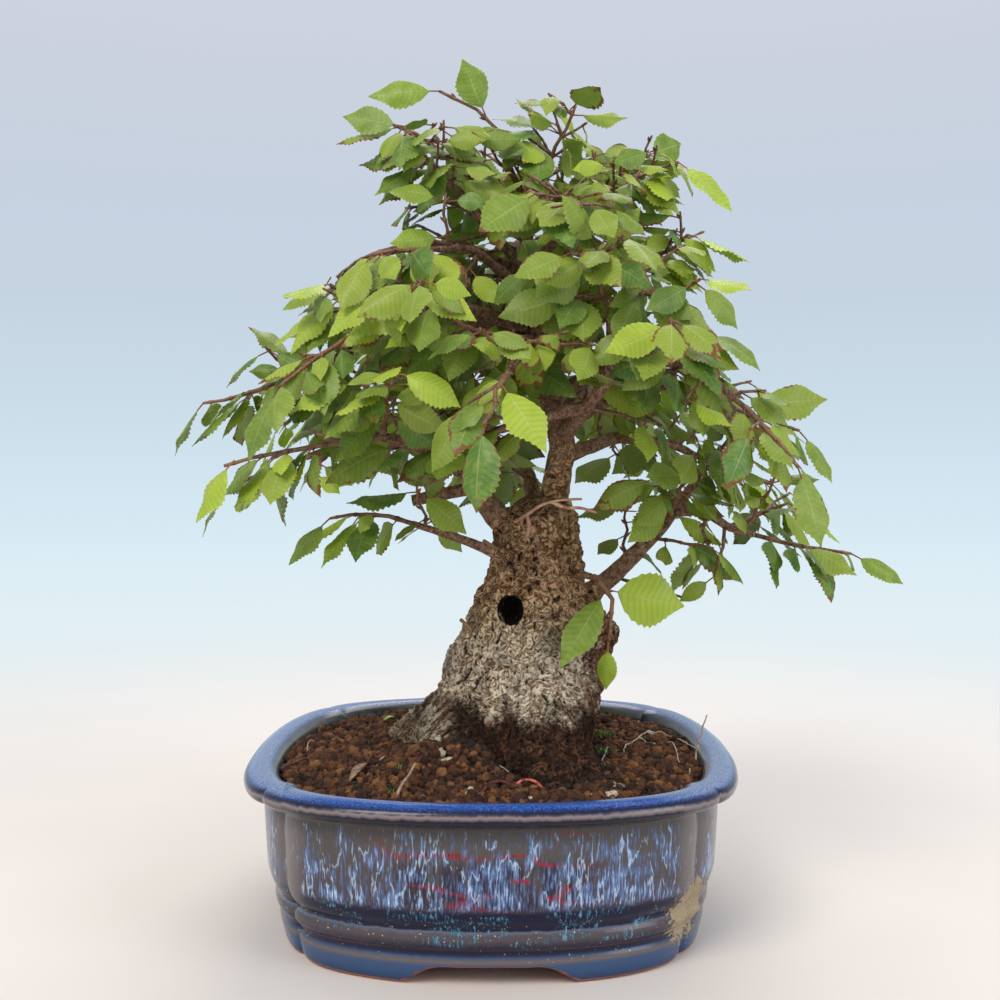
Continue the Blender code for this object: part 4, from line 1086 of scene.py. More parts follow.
@dataclass
class Ground:
    """The soil's granules, moss, rootlets and fallen scraps, on the packed soil."""

    view: View
    # The granules' spacing in a row, the rows' spacing as a share of it, and their radii.
    pitch: float = 3.0
    row_share: float = 0.866
    sizes: Point = (1.0, 2.7)
    # How far out the rows of granules reach, and the lowest soil that they lie on.
    half: float = 104.0
    lowest: float = 58.0
    scraps: tuple[Scrap, ...] = (
        Scrap("rootlet_right_long", ROOTLET, 0.28, (
            (621, 759), (625, 751), (636, 745), (644, 738), (661, 737), (668, 741), (680, 745),
            (695, 748))),
        Scrap("rootlet_right_short", ROOTLET, 0.28, (
            (662, 744), (672, 747), (677, 757), (678, 765), (685, 770))),
        Scrap("rootlet_rim", ROOTLET, 0.24, ((694, 768), (689, 774), (692, 782))),
        Scrap("rootlet_trunk", ROOTLET, 0.30, ((609, 746), (607, 753), (602, 767), (601, 779))),
        Scrap("rootlet_front", ROOTLET, 0.26, (
            (507, 749), (502, 763), (500, 772), (509, 778), (514, 782))),
        Scrap("rootlet_left", ROOTLET, 0.24, ((308, 757), (307, 748), (313, 745), (319, 748))),
        Scrap("rootlet_left_front", ROOTLET, 0.30, ((376, 768), (383, 762), (387, 757))),
        Scrap("straw", STRAW, 0.40, ((601, 782), (615, 789), (626, 797))),
        Scrap("red_root", RED_ROOT, 0.75, ((513, 789), (520, 787), (529, 786), (538, 788), (546, 792))),
        Scrap("dark_root_front", DARK_ROOT, 0.75, ((480, 795), (489, 789), (505, 787), (517, 788))),
        Scrap("dark_root_left", DARK_ROOT, 0.70, ((282, 768), (306, 764), (323, 761))),
        Scrap("stick_right", DRY_TWIG, 0.42, (
            (697, 763), (696, 757), (697, 748), (701, 736), (703, 725), (707, 715)), True, Slot.BARK),
        Scrap("stick_left", DRY_TWIG, 0.62, ((394, 799), (402, 784), (416, 763)), True, Slot.BARK),
        Scrap("stick_root", ROOTLET, 0.50, ((442, 727), (433, 711), (424, 698)), True, Slot.BARK),
    )
    # Image points of the cream granules.
    cream_at: tuple[Point, ...] = (
        (437, 733), (439, 742), (448, 730), (457, 731), (467, 734), (470, 740), (463, 739), (446, 756),
        (452, 745), (448, 770), (483, 798), (592, 797), (612, 797), (655, 745),
    )
    # Image point, number of tufts and spread in millimetres of each mossy place.
    moss_at: tuple[Point, ...] = (
        (604, 738, 90, 5.0), (606, 755, 60, 4.0), (600, 770, 30, 3.0), (399, 772, 8, 1.4),
        (391, 796, 7, 1.4),
    )
    # Finish, slot, half width in millimetres and both ends' image points of each fallen leaf.
    litter: tuple[tuple[Finish, Slot, float, Point, Point], ...] = (
        (DRY_LEAF, Slot.SOIL, 2.2, (350, 786), (367, 768)),
        (SPROUT, Slot.LEAF, 1.9, (383, 725), (398, 723)),
    )

    def __post_init__(self) -> None:
        """Reads the packed soil and wood."""
        self.soil = Surface("soil")
        self.wood = Surface("trunk_and_limbs")
        self.draw = random.Random(SEED)

    def on_soil(self, u: float, v: float) -> Vector:
        """The soil's surface at an image point."""
        hit = self.soil.tree.ray_cast(self.view.place, self.view.ray(u, v))[0]
        return hit if hit else self.view.at_depth(u, v, -80.0)

    def spots(self) -> list[tuple[Vector, float, Vector]]:
        """The place, radius and grain attribute of each granule."""
        found = []
        cream = [self.on_soil(*at) for at in self.cream_at]
        rows = round(self.half / self.pitch / self.row_share)
        for row in range(-rows, rows + 1):
            for column in range(-rows, rows + 1):
                across = (column + 0.5 * (row % 2)) * self.pitch
                flat = Vector((across, row * self.pitch * self.row_share, 0.0))
                flat += Vector([*[self.draw.uniform(-1.2, 1.2) for _ in range(2)], 0.0])
                radius = self.draw.uniform(*self.sizes) * self.draw.uniform(0.8, 1.0)
                tone, lift, luck = self.draw.random(), self.draw.uniform(-0.1, 0.55), self.draw.random()
                place = placed(flat)
                place.z = self.soil.height(place.x, place.y)
                if place.z < self.lowest * MM:
                    continue
                damp = smoothstep(9.0, 3.0, self.wood.distance(place) / MM) * 0.9
                damp *= 1.0 - smoothstep(10.0, -40.0, from_pot(place).x) * 0.6
                near = min((place - other).length for other in cream)
                pale = 1.0 if near < 2.1 * MM or luck < 0.006 else 0.0
                place.z += lift * radius * MM
                found.append((place, radius * MM, Vector((tone, pale, damp * (1.0 - pale)))))
        return found

    def granules(self) -> None:
        """Rough lumps over the whole of the soil."""
        spots = self.spots()
        bm = bmesh.new()
        bmesh.ops.create_cube(bm, size=2.0)
        bmesh.ops.subdivide_edges(bm, edges=bm.edges, cuts=1, use_grid_fill=True)
        for vert in bm.verts:
            vert.co.normalize()
        each = len(bm.verts)
        while len(bm.verts) < each * len(spots):
            bmesh.ops.duplicate(bm, geom=[*bm.verts, *bm.edges, *bm.faces])
        bm.verts.ensure_lookup_table()
        bmesh.ops.delete(bm, geom=bm.verts[each * len(spots) :], context="VERTS")
        grain = bm.verts.layers.float_vector.new("grain")
        bm.verts.ensure_lookup_table()
        for count, (place, radius, kind) in enumerate(spots):
            turn = Euler([self.draw.uniform(0, math.tau) for _ in range(3)]).to_matrix()
            shape = [self.draw.uniform(0.78, 1.15) for _ in range(3)]
            for vert in bm.verts[count * each : (count + 1) * each]:
                bump = 1.0 + 0.85 * noise.noise(vert.co * 1.9 + Vector((count * 3.7, 0.0, 0.0)))
                lump = Vector([size * share for size, share in zip(vert.co, shape)])
                vert.co = place + turn @ lump * radius * bump
                vert[grain] = kind
        add_piece("soil_granules", new_mesh("soil_granules", bm), [Granule()], Slot.SOIL)

    def moss(self) -> None:
        """Small pointed tufts where the soil stays wet."""
        bm = bmesh.new()
        for u, v, count, spread in self.moss_at:
            middle = self.on_soil(u, v)
            for _ in range(int(count)):
                shift = [self.draw.gauss(0, spread / 2) * MM for _ in range(2)]
                place = middle + Vector([*shift, 0])
                ground = max(self.soil.height(place.x, place.y), middle.z)
                place.z = ground + self.draw.uniform(0.0, 1.5) * MM
                lean = Vector([*[self.draw.uniform(-0.6, 0.6) for _ in range(2)], 1.0]).normalized()
                tall = self.draw.uniform(1.4, 3.0) * MM
                route = [place, place + lean * tall / 2, place + lean * tall]
                tube(bm, route, [radius * MM for radius in (0.4, 0.3, 0.05)], 4)
        add_piece("moss_tufts", new_mesh("moss_tufts", bm), [MOSS], Slot.LEAF)

    def scrap(self, made: Scrap) -> None:
        """One rootlet, root or stick."""
        if made.stands:
            foot = self.on_soil(*made.points[0])
            depth = from_pot(foot).y
            route = [self.view.at_depth(*point, depth) for point in made.points]
            route[0].z -= 2 * MM
        else:
            route = [self.on_soil(*point) for point in made.points]
            for count, place in enumerate(route):
                place.z += (0.0 if count in (0, len(route) - 1) else 2.6) * MM
        route = eased_route(route, 1.6 * MM)
        for place in route[1:-1]:
            place += noise.noise_vector(place * 300) * 0.5 * MM
        radii = [made.radius * MM * (1.15 - 0.5 * k / len(route)) for k in range(len(route))]
        add_piece(made.name, tube_mesh(made.name, route, radii, 6), [made.finish], made.slot)

    def fallen_leaves(self) -> None:
        """Thin curled blades on the granules."""
        for count, (finish, slot, half, *ends) in enumerate(self.litter):
            near, far = [self.on_soil(*end) + UP * 2.2 * MM for end in ends]
            aside = (far - near).cross(UP).normalized()
            rings = []
            for step in range(9):
                share = step / 8
                middle = near.lerp(far, share) + UP * 1.2 * MM * math.sin(math.pi * share)
                reach = half * MM * max(0.12, math.sin(math.pi * min(1.0, share * 0.9 + 0.06)))
                curl = UP * 0.35 * reach
                left, right = middle - aside * reach + curl, middle + aside * reach + curl
                rings.append([left, middle - UP * 0.2 * MM, right, middle + UP * 0.2 * MM])
            bm = bmesh.new()
            skin(bm, rings)
            add_piece(f"fallen_leaf_{count}", new_mesh(f"fallen_leaf_{count}", bm), [finish], slot)

    def build(self) -> None:
        """Dresses the packed soil and lays everything on it."""
        screen = Plastic()
        kept = {"soil": Loam(), "drain_screen_left": screen, "drain_screen_right": screen}
        for name, finish in kept.items():
            mesh = frame["nodes"][name].data
            mesh.materials.clear()
            mesh.materials.append(finish.material())
        self.granules()
        self.moss()
        self.fallen_leaves()
        for made in self.scraps:
            self.scrap(made)


@dataclass(frozen=True)
class Limb:
    """One limb: its route in millimetres, its radius at both ends and the stubs beside its tip."""

    name: str
    places: tuple[Point, ...]
    first: float
    last: float
    beside: int

    def route(self) -> list[Vector]:
        """The limb's bends in the shared frame."""
        return [placed(place) for place in self.places]

    def radius(self, share: float) -> float:
        """The radius in millimetres at a share of the limb's length."""
        return self.first + (self.last - self.first) * share


BARE = -1
LIMBS = tuple(Limb(*row) for row in (
    ("leader", ((25, 2, 160), (33, 3, 203), (17, 6, 262), (15, 4, 302), (22, 1, 320)), 7.5, 1.8, 0),
    ("left", ((12, 0, 160), (-8, -4, 183), (-7, -6, 194), (-2, -24, 222), (-14, -40, 236)), 6.5, 1.7, 1),
    ("left_stub", ((-7, -4, 184), (-22, -8, 181), (-36, -10, 178)), 3.4, 2.6, BARE),
    ("left_low", ((8, -6, 152), (-14, -14, 161), (-35, -20, 168)), 2.8, 1.4, 0),
    ("far_left", ((19, 5, 252), (-8, 2, 252), (-52, -4, 257), (-73, -8, 240), (-94, -10, 232)),
     4.4, 1.6, 2),
    ("far_left_back", ((17, 6, 262), (-20, 34, 260), (-56, 50, 246), (-78, 56, 232)), 3.8, 1.5, 1),
    ("low_left", ((-8, -5, 188), (-34, 6, 203), (-66, 14, 206), (-88, 16, 198)), 3.6, 1.5, 1),
    ("front_left", ((-7, -5, 190), (-24, -32, 200), (-48, -56, 206), (-66, -66, 202)), 3.6, 1.5, 1),
    ("front_left_top", ((17, 5, 258), (-14, -34, 262), (-40, -58, 258), (-56, -66, 246)), 3.6, 1.5, 1),
    ("front_pale", ((33, 2, 208), (40, -30, 217), (50, -46, 230), (49, -52, 247)), 4.2, 1.7, 0),
    ("front_cross", ((41, -32, 219), (22, -46, 214), (2, -50, 208)), 3.2, 1.7, 0),
    ("front", ((24, 4, 236), (18, -36, 246), (12, -68, 244), (8, -86, 232)), 3.8, 1.5, 1),
    ("front_mid", ((19, 5, 256), (30, -30, 272), (38, -56, 274)), 3.2, 1.5, 0),
    ("front_right", ((27, 4, 226), (60, -40, 240), (84, -60, 234), (98, -70, 220)), 3.8, 1.5, 1),
    ("right_low", ((34, 8, 126), (56, 4, 143), (78, -2, 166), (94, -4, 188)), 5.4, 1.9, 1),
    ("right_long", ((84, -3, 173), (96, -9, 174), (106, -13, 166), (117, -16, 163)), 2.8, 1.4, 1),
    ("right_mid", ((31, 3, 212), (60, -8, 228), (84, -18, 230), (100, -24, 222)), 4.0, 1.5, 2),
    ("right_back", ((32, 3, 198), (60, 30, 208), (86, 42, 206), (104, 44, 198)), 4.0, 1.5, 1),
    ("back_right", ((29, 4, 216), (46, 42, 232), (60, 66, 230)), 3.8, 1.6, 1),
    ("back", ((22, 12, 164), (18, 40, 190), (10, 64, 202), (4, 78, 200)), 4.8, 1.6, 1),
    ("back_left", ((17, 6, 255), (-6, 40, 260), (-24, 66, 250)), 3.6, 1.5, 1),
    ("top_right", ((15, 4, 274), (40, 2, 286), (56, -4, 286)), 2.8, 1.4, 0),
    ("top_right_back", ((16, 5, 262), (42, 34, 274), (58, 52, 268)), 3.0, 1.4, 0),
    ("top_left", ((15, 4, 282), (-14, 2, 296), (-34, -2, 294)), 2.8, 1.4, 0),
    ("mid_left", ((17, 6, 250), (-16, -14, 264), (-36, -22, 263)), 3.0, 1.4, 0),
    ("top_left_back", ((16, 5, 270), (-12, 34, 282), (-28, 50, 276)), 2.8, 1.4, 0),
    ("top_front", ((15, 3, 290), (18, -24, 304), (24, -42, 304)), 2.8, 1.4, 0),
    ("top_front_left", ((16, 4, 274), (-8, -28, 288), (-22, -48, 284)), 2.8, 1.4, 0),
    ("top_front_right", ((15, 4, 268), (42, -32, 278), (58, -50, 268)), 3.0, 1.4, 0),
    ("top_back", ((15, 4, 290), (12, 32, 302), (6, 50, 296)), 2.8, 1.4, 0),
    ("dome_left", ((16, 4, 284), (-4, -16, 302), (-14, -24, 312)), 2.6, 1.3, 0),
    ("dome_right", ((16, 4, 284), (38, -8, 304), (50, -12, 312)), 2.6, 1.3, 0),
    ("crest_right", ((18, 2, 302), (34, 8, 314), (44, 12, 318)), 2.4, 1.3, 0),
    ("crest_left", ((16, 3, 298), (0, -8, 316), (-10, -14, 324)), 2.4, 1.3, 0),
    ("crest_shoot", ((18, 3, 308), (12, 6, 324), (7, 4, 334)), 1.9, 1.2, 0),
    ("trunk_bud", ((32, -7, 146.5), (44, -19, 144.5)), 1.6, 1.5, 0),
))
# The shares of a limb's length at which its side stubs stand, by their number.
STUB_SHARES: dict[int, Point] = {0: (), 1: (0.72,), 2: (0.62, 0.84)}


@dataclass(frozen=True)
class Seat:
    """Where a spray grows: a flat end of the wood, its direction and its radius."""

    name: str
    place: Vector
    direction: Vector
    radius: float


@dataclass
class Wood:
    """Roots, trunk and limbs with shaggy bark, grown as one piece, and the bare twigs."""

    view: View
    # Height, middle x and y, half width, half depth and share of the root flare.
    sections: tuple[Point, ...] = (
        (46.0, 8.0, -8.0, 34.5, 35.0, 1.00), (67.0, 8.0, -8.0, 34.5, 35.0, 1.00),
        (74.0, 9.0, -7.0, 35.5, 35.5, 0.66), (84.0, 11.0, -5.0, 36.5, 35.5, 0.38),
        (95.0, 13.0, -3.0, 36.5, 34.5, 0.20), (108.0, 15.5, -1.0, 34.5, 32.5, 0.09),
        (120.0, 19.5, 0.0, 32.5, 30.0, 0.04), (132.0, 18.5, 1.0, 25.5, 26.5, 0.0),
        (146.0, 20.0, 2.0, 21.0, 22.0, 0.0), (160.0, 20.5, 2.0, 18.5, 19.5, 0.0),
        (171.0, 21.0, 2.0, 18.0, 18.0, 0.0), (177.0, 22.0, 2.0, 12.0, 12.0, 0.0),
        (181.0, 23.0, 2.0, 5.0, 5.0, 0.0),
    )
    # Bearing in degrees, reach in millimetres and spread in degrees of each root.
    roots: tuple[Point, ...] = (
        (147.0, 33.0, 17.0), (-73.0, 29.0, 16.0), (-45.0, 18.0, 15.0), (205.0, 13.0, 15.0),
        (60.0, 12.0, 18.0),
    )
    # The burl's bearing, reach and spread, its height and the spread of that.
    burl: Point = (-3.0, 9.0, 24.0, 116.0, 14.0)
    sides: int = 264
    ring_step: float = 0.95
    soil_level: float = 58.0
    ridge: float = 0.10
    ridge_turn: float = 2.2
    ridge_run: float = 26.0
    knot: Point = (8.5, -24.0, 130.0)
    knot_half: Point = (5.6, 12.0, 6.4)
    limb_sides: int = 12
    limb_step: float = 2.6
    stub_length: float = 5.0
    stub_radius: float = 1.5
    # Bare twigs as image points with a depth in millimetres. The first ones have pale rind.
    pale_twigs: int = 3
    twigs: tuple[tuple[Point, ...], ...] = (
        ((515, 522, -38), (527, 515, -46), (540, 505, -48), (558, 500, -50), (582, 499, -50)),
        ((552, 502, -49), (566, 509, -50), (580, 507, -50), (597, 513, -50)),
        ((527, 515, -45), (530, 526, -44), (526, 539, -42)),
        ((484, 541, -40), (490, 544, -44), (497, 549, -45)),
        ((461, 620, -32), (466, 624, -36), (471, 630, -38)),
    )

    def value(self, column: int, height: float) -> float:
        """One size of the trunk at a height, eased over its bends."""
        pairs = [(section[0], section[column]) for section in self.sections]
        below, level, above = [along_pairs(pairs, height + step) for step in (-3.0, 0.0, 3.0)]
        return (below + 2 * level + above) / 4

    def reach(self, height: float, angle: float) -> float:
        """How far the trunk reaches at an angle, with its roots, burl and large ridges."""
        half_x, half_y, flare = [self.value(column, height) for column in (3, 4, 5)]
        far = half_x * half_y / math.hypot(half_y * math.cos(angle), half_x * math.sin(angle))
        swollen = math.exp(-(((height - self.burl[3]) / self.burl[4]) ** 2))
        lumps = [*((flare, root) for root in self.roots), (swollen, self.burl[:3])]
        for share, (bearing, reach, spread) in lumps:
            turn = math.degrees(angle) - bearing
            turn -= 360.0 * round(turn / 360.0)
            far += share * reach * math.exp(-((turn / spread) ** 2))
        flat = Vector((math.cos(angle), math.sin(angle), 0.0)) * self.ridge_turn
        return far * (1 + self.ridge * noise.noise(flat + UP * (max(height, 67.0) / self.ridge_run)))

    def trunk(self) -> Mesh:
        """The roots and trunk in fine rings."""
        heights = [self.sections[0][0], 52.0]
        count = round((self.sections[-1][0] - self.soil_level) / self.ring_step)
        heights += [self.soil_level + self.ring_step * k for k in range(count)]
        rings = []
        for height in heights:
            middle = Vector((self.value(1, height), self.value(2, height), height))
            points = []
            for side in range(self.sides):
                angle = math.tau * side / self.sides
                flat = Vector((math.cos(angle), math.sin(angle), 0.0))
                points.append(placed(middle + flat * self.reach(height, angle)))
            rings.append(points)
        bm = bmesh.new()
        skin(bm, rings)
        return new_mesh("trunk", bm)

    def stubs(self, limb: Limb) -> list[Seat]:
        """The ends of a limb's side stubs."""
        draw = random.Random(f"{SEED} {limb.name}")
        found = []
        for count, share in enumerate(STUB_SHARES.get(limb.beside, ()), 1):
            place, ahead = along(limb.route(), share)
            aside = ahead.cross(UP).normalized() * (-1 if (count + len(limb.name)) % 2 else 1)
            way = (ahead * 0.5 + aside * 0.8 + UP * draw.uniform(0.0, 0.9)).normalized()
            thickness = (limb.radius(share) + self.stub_length) * MM
            found.append(Seat(f"{limb.name}_{count}", place + way * thickness, way, self.stub_radius * MM))
        return found

    def seats(self) -> list[Seat]:
        """Every flat end that carries a spray."""
        found = []
        for limb in LIMBS:
            if limb.beside == BARE:
                continue
            route = limb.route()
            found.append(Seat(limb.name, route[-1], (route[-1] - route[-2]).normalized(), limb.last * MM))
            found += self.stubs(limb)
        return found

    def limb(self, limb: Limb) -> list[Mesh]:
        """A limb with its taper and small swellings, and its side stubs."""
        route = eased_route(limb.route(), self.limb_step * MM)
        radii = []
        for count, place in enumerate(route):
            share = count / (len(route) - 1)
            swell = 1 + 0.10 * noise.noise(place * 90) * (1 - share ** 6)
            radii.append(limb.radius(share) * MM * swell)
        made = [tube_mesh(limb.name, route, radii, self.limb_sides)]
        for count, seat in enumerate(self.stubs(limb)):
            foot = along(limb.route(), STUB_SHARES[limb.beside][count])[0]
            route = [foot, foot.lerp(seat.place, 0.5), seat.place]
            made.append(tube_mesh(seat.name, route, [seat.radius * 1.2] * 2 + [seat.radius], 8))
        return made

    def knot_hole(self) -> Mesh:
        """The cutter for the old knot hole."""
        bm = bmesh.new()
        bmesh.ops.create_uvsphere(bm, u_segments=28, v_segments=18, radius=1.0)
        for vert in bm.verts:
            rough = 1 + 0.10 * noise.noise(vert.co * 2)
            parts = zip(self.knot, vert.co, self.knot_half)
            vert.co = placed([at + size * half * rough for at, size, half in parts])
        return new_mesh("knot_hole", bm)

    def trunk_share(self, place: Vector) -> float:
        """How far a place in millimetres belongs to the trunk, from 0 on the limbs to 1."""
        flat = Vector((place.x - self.value(1, place.z), place.y - self.value(2, place.z), 0.0))
        far = flat.length / self.reach(place.z, math.atan2(flat.y, flat.x))
        return smoothstep(1.45, 1.12, far) * smoothstep(186.0, 172.0, place.z)

    @staticmethod
    def old_limb_share(place: Vector) -> float:
        """How far a place in millimetres belongs to the leader's old and rough foot."""
        bends = [Vector(bend) for bend in LIMBS[0].places[:3]]
        far = min(distance_to(place, near, end) for near, end in zip(bends, bends[1:]))
        return smoothstep(12.5, 9.5, far) * smoothstep(222.0, 186.0, place.z)

    @staticmethod
    def relief(place: Vector) -> float:
        """The trunk bark's height from 0 to 1: curled flakes with cracks between them."""
        warp = noise.noise_vector(place * 0.09) * 5.0
        flake = (place + warp) * 0.30
        flake.z *= 0.75
        crack = smoothstep(0.0, 0.16, abs(noise.noise(flake * 0.55)))
        split = smoothstep(0.0, 0.20, abs(noise.noise(flake * 1.25)))
        shred = noise.fractal(flake * 1.1, 1.0, 2.0, 3)
        return min(1.0, max(0.0, 0.16 + 0.26 * crack + 0.22 * split + 0.42 * shred))

    def weather(self, mesh: Mesh) -> Mesh:
        """Raises the bark from the plain wood and keeps its relief for the finish."""
        bm = bmesh.new()
        bm.from_mesh(mesh)
        bmesh.ops.remove_doubles(bm, verts=bm.verts, dist=0.01 * MM)
        bmesh.ops.recalc_face_normals(bm, faces=bm.faces)
        bm.normal_update()
        bark = bm.verts.layers.float_vector.new("bark")
        moves = []
        for vert in bm.verts:
            place = from_pot(vert.co)
            trunk = self.trunk_share(place)
            limb = (1 - trunk) * self.old_limb_share(place) if place.z > 160.0 else 0.0
            relief = self.relief(place) if trunk + limb > 0 else 0.5
            fine = noise.fractal(place * 0.30, 1.0, 2.0, 3)
            lump = noise.noise(place * 0.055)
            shown = smoothstep(54.0, 62.0, place.z)
            rough = trunk + 0.4 * limb
            rise = rough * (3.4 * (relief - 0.55) + 1.6 * lump) * shown + (1 - rough) * 0.22 * fine
            parts = zip(place, self.knot, self.knot_half)
            from_knot = Vector([(at - middle) / half for at, middle, half in parts]).length
            rise *= smoothstep(1.0, 1.35, from_knot)
            moves.append((vert, vert.normal * rise * MM, Vector((relief, trunk + limb, 0.0))))
        for vert, move, kept in moves:
            vert.co += move
            vert[bark] = kept
        return new_mesh("bark_wood", bm)

    def build(self) -> None:
        """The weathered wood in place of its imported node, and the bare twigs."""
        limbs = [mesh for limb in LIMBS for mesh in self.limb(limb)]
        fused = combined(self.trunk(), limbs, "UNION")
        made = self.weather(combined(fused, [self.knot_hole()], "DIFFERENCE"))
        finish = Bark(knot=self.knot, knot_half=self.knot_half)
        add_piece("bark_wood", made, [finish], Slot.BARK, "trunk_and_limbs")
        for count, points in enumerate(self.twigs):
            name = f"bare_twig_{count}"
            route = eased_route([self.view.at_depth(*point) for point in points], 2.0 * MM)
            radii = [(0.85 - 0.35 * k / len(route)) * MM for k in range(len(route))]
            rind = BARE_RIND if count < self.pale_twigs else RIND
            add_piece(name, tube_mesh(name, route, radii, 8), [rind], Slot.BARK)


class Ball:
    """A closed coarse shape's search tree, with its middle and reach."""

    def __init__(self, points: Sequence[Vector], faces: Sequence[tuple[int, ...]]) -> None:
        """Builds the tree."""
        self.tree = BVHTree.FromPolygons(points, faces)
        self.middle = sum(points, Vector()) / len(points)
        self.reach = max((point - self.middle).length for point in points)


class Taken:
    """The room that leaves and twigs already fill, in cells of the crown."""

    def __init__(self, cell: float) -> None:
        """Starts empty, with cells of a size in metres."""
        self.cell = cell
        self.cells: dict[tuple[int, ...], list[Ball]] = {}

    def span(self, ball: Ball) -> list[tuple[int, ...]]:
        """The cells that a shape may touch."""
        low = [math.floor((at - ball.reach) / self.cell) for at in ball.middle]
        high = [math.floor((at + ball.reach) / self.cell) for at in ball.middle]
        runs = [range(first, last + 1) for first, last in zip(low, high)]
        return [(a, b, c) for a in runs[0] for b in runs[1] for c in runs[2]]

    def add(self, ball: Ball) -> None:
        """Fills the shape's room."""
        for cell in self.span(ball):
            self.cells.setdefault(cell, []).append(ball)

    def free(self, ball: Ball) -> bool:
        """Whether a shape crosses nothing that is there."""
        for cell in self.span(ball):
            for other in self.cells.get(cell, ()):
                apart = (other.middle - ball.middle).length
                if apart < other.reach + ball.reach and other.tree.overlap(ball.tree):
                    return False
        return True


@dataclass(frozen=True)
class Leaf:
    """One leaf: its foot, the way it grows, its upper side, its size and how it folds and bends."""

    foot: Vector
    ahead: Vector
    face: Vector
    length: float
    half: float
    fold: float
    arch: float
    bend: float
    # Youth, scorch and tone of its colour, each from 0 to 1.
    kind: Vector
    petiole: float = 5.0 * MM

    def spot(self, share: float, across: float, lift: float = 0.0) -> Vector:
        """A place on the blade.

        Args:
            share: How far along the blade.
            across: How far across it, in metres.
            lift: How far above its middle sheet, in metres.

        Returns:
            The point in the shared frame.
        """
        side = self.ahead.cross(self.face)
        low = abs(across) * self.fold + self.arch * self.length * max(0.0, share) ** 2
        aside = across + self.bend * self.length * max(0.0, share) ** 2
        ahead = self.ahead * (self.petiole + share * self.length)
        return self.foot + ahead + side * aside + self.face * (lift - low)

    def ball(self, spare: float) -> Ball:
        """The leaf's coarse closed shape, made larger by spare."""
        edge = ((0.06, 0.45), (0.30, 1.0), (0.58, 0.90), (0.82, 0.5))
        rim = [(share, side * (self.half * width + spare)) for side in (-1, 1) for share, width in edge]
        points = [self.spot(share, across) for share, across in rim]
        ends = (1.0 + spare / self.length, -0.7 * self.petiole / self.length)
        points += [self.spot(share, 0.0) for share in ends]
        points += [self.spot(0.42, 0.0, lift * (0.7 * MM + spare)) for lift in (1, -1)]
        faces = []
        for side in (0, 4):
            run = [9, *range(side, side + 4), 8]
            faces += [(a, b, rib) for a, b in zip(run, run[1:]) for rib in (10, 11)]
        return Ball(points, faces)


@dataclass
class Blades:
    """Draws leaves: a stalk and a pleated, toothed blade as one closed body."""

    stalk: tuple[Point, ...] = ((0.0, 0.36), (2.4, 0.32), (4.6, 0.30))
    outline: tuple[tuple[float, float], ...] = (
        (0.0, 0.10), (0.05, 0.45), (0.12, 0.74), (0.22, 0.94), (0.33, 1.0), (0.45, 0.97), (0.58, 0.82),
        (0.70, 0.62), (0.80, 0.42), (0.88, 0.26), (0.94, 0.14), (1.0, 0.03),
    )
    stations: int = 22
    across: Point = (1.0, 0.52, 0.0, -0.52, -1.0, -0.52, 0.0, 0.52)
    layer: Point = (0.0, 1.0, 1.0, 1.0, 0.0, -1.0, -1.0, -1.0)
    thick: float = 0.13
    tooth: float = 0.05
    pleat: float = 0.34
    ruffle: float = 0.12
    slant: float = 0.21

    def draw(self, bm: BMesh, leaf: Leaf) -> None:
        """Adds one leaf to a spray's mesh."""
        blade, kind = [bm.verts.layers.float_vector[name] for name in ("blade", "leaf")]
        side = leaf.ahead.cross(leaf.face)
        rings, kept = [], []
        count = len(self.across)
        for distance, radius in self.stalk:
            middle = leaf.foot + leaf.ahead * distance * MM
            turns = [math.tau * k / count for k in range(count)]
            ring = [middle + (side * math.cos(t) + leaf.face * math.sin(t)) * radius * MM for t in turns]
            rings.append(ring)
            kept.append([Vector((0.0, -1.0 + distance / 5.0, 1.0))] * count)
        for station in range(self.stations + 1):
            share = station / self.stations
            wave = -1.0 if station % 2 == 0 else 1.0
            width = along_pairs(self.outline, share) * leaf.half * (1 - self.tooth * wave)
            forward = self.slant * math.sin(math.pi * share)
            ring = []
            for across, layer in zip(self.across, self.layer):
                out = abs(across)
                pleat = self.pleat * (0.25 if out < 0.1 else 0.8 if out > 0.9 else 1.0)
                pleat *= wave * min(1.0, 4 * share, 5 * (1 - share)) * min(1.0, leaf.half / (8 * MM))
                lift = (pleat + layer * self.thick * (1.0 if out < 0.1 else 0.7)) * MM
                swing = math.tau * (1.4 * share + leaf.kind.z + 0.25 * math.copysign(1.0, across))
                lift += self.ruffle * leaf.half * out * out * math.sin(swing) * math.sin(math.pi * share)
                ring.append(leaf.spot(min(1.0, share + forward * out * (1 - share)), across * width, lift))
            rings.append(ring)
            kept.append([Vector((a, share, l)) for a, l in zip(self.across, self.layer)])
        grid = skin(bm, rings)
        for row, values in zip(grid, kept):
            for vert, value in zip(row, values):
                vert[blade] = value
                vert[kind] = leaf.kind
        first = len(self.stalk)
        for near, far in zip(grid[first:], grid[first + 1 :]):
            for edge in (0, count // 2):
                bm.edges.get((near[edge], far[edge])).smooth = False


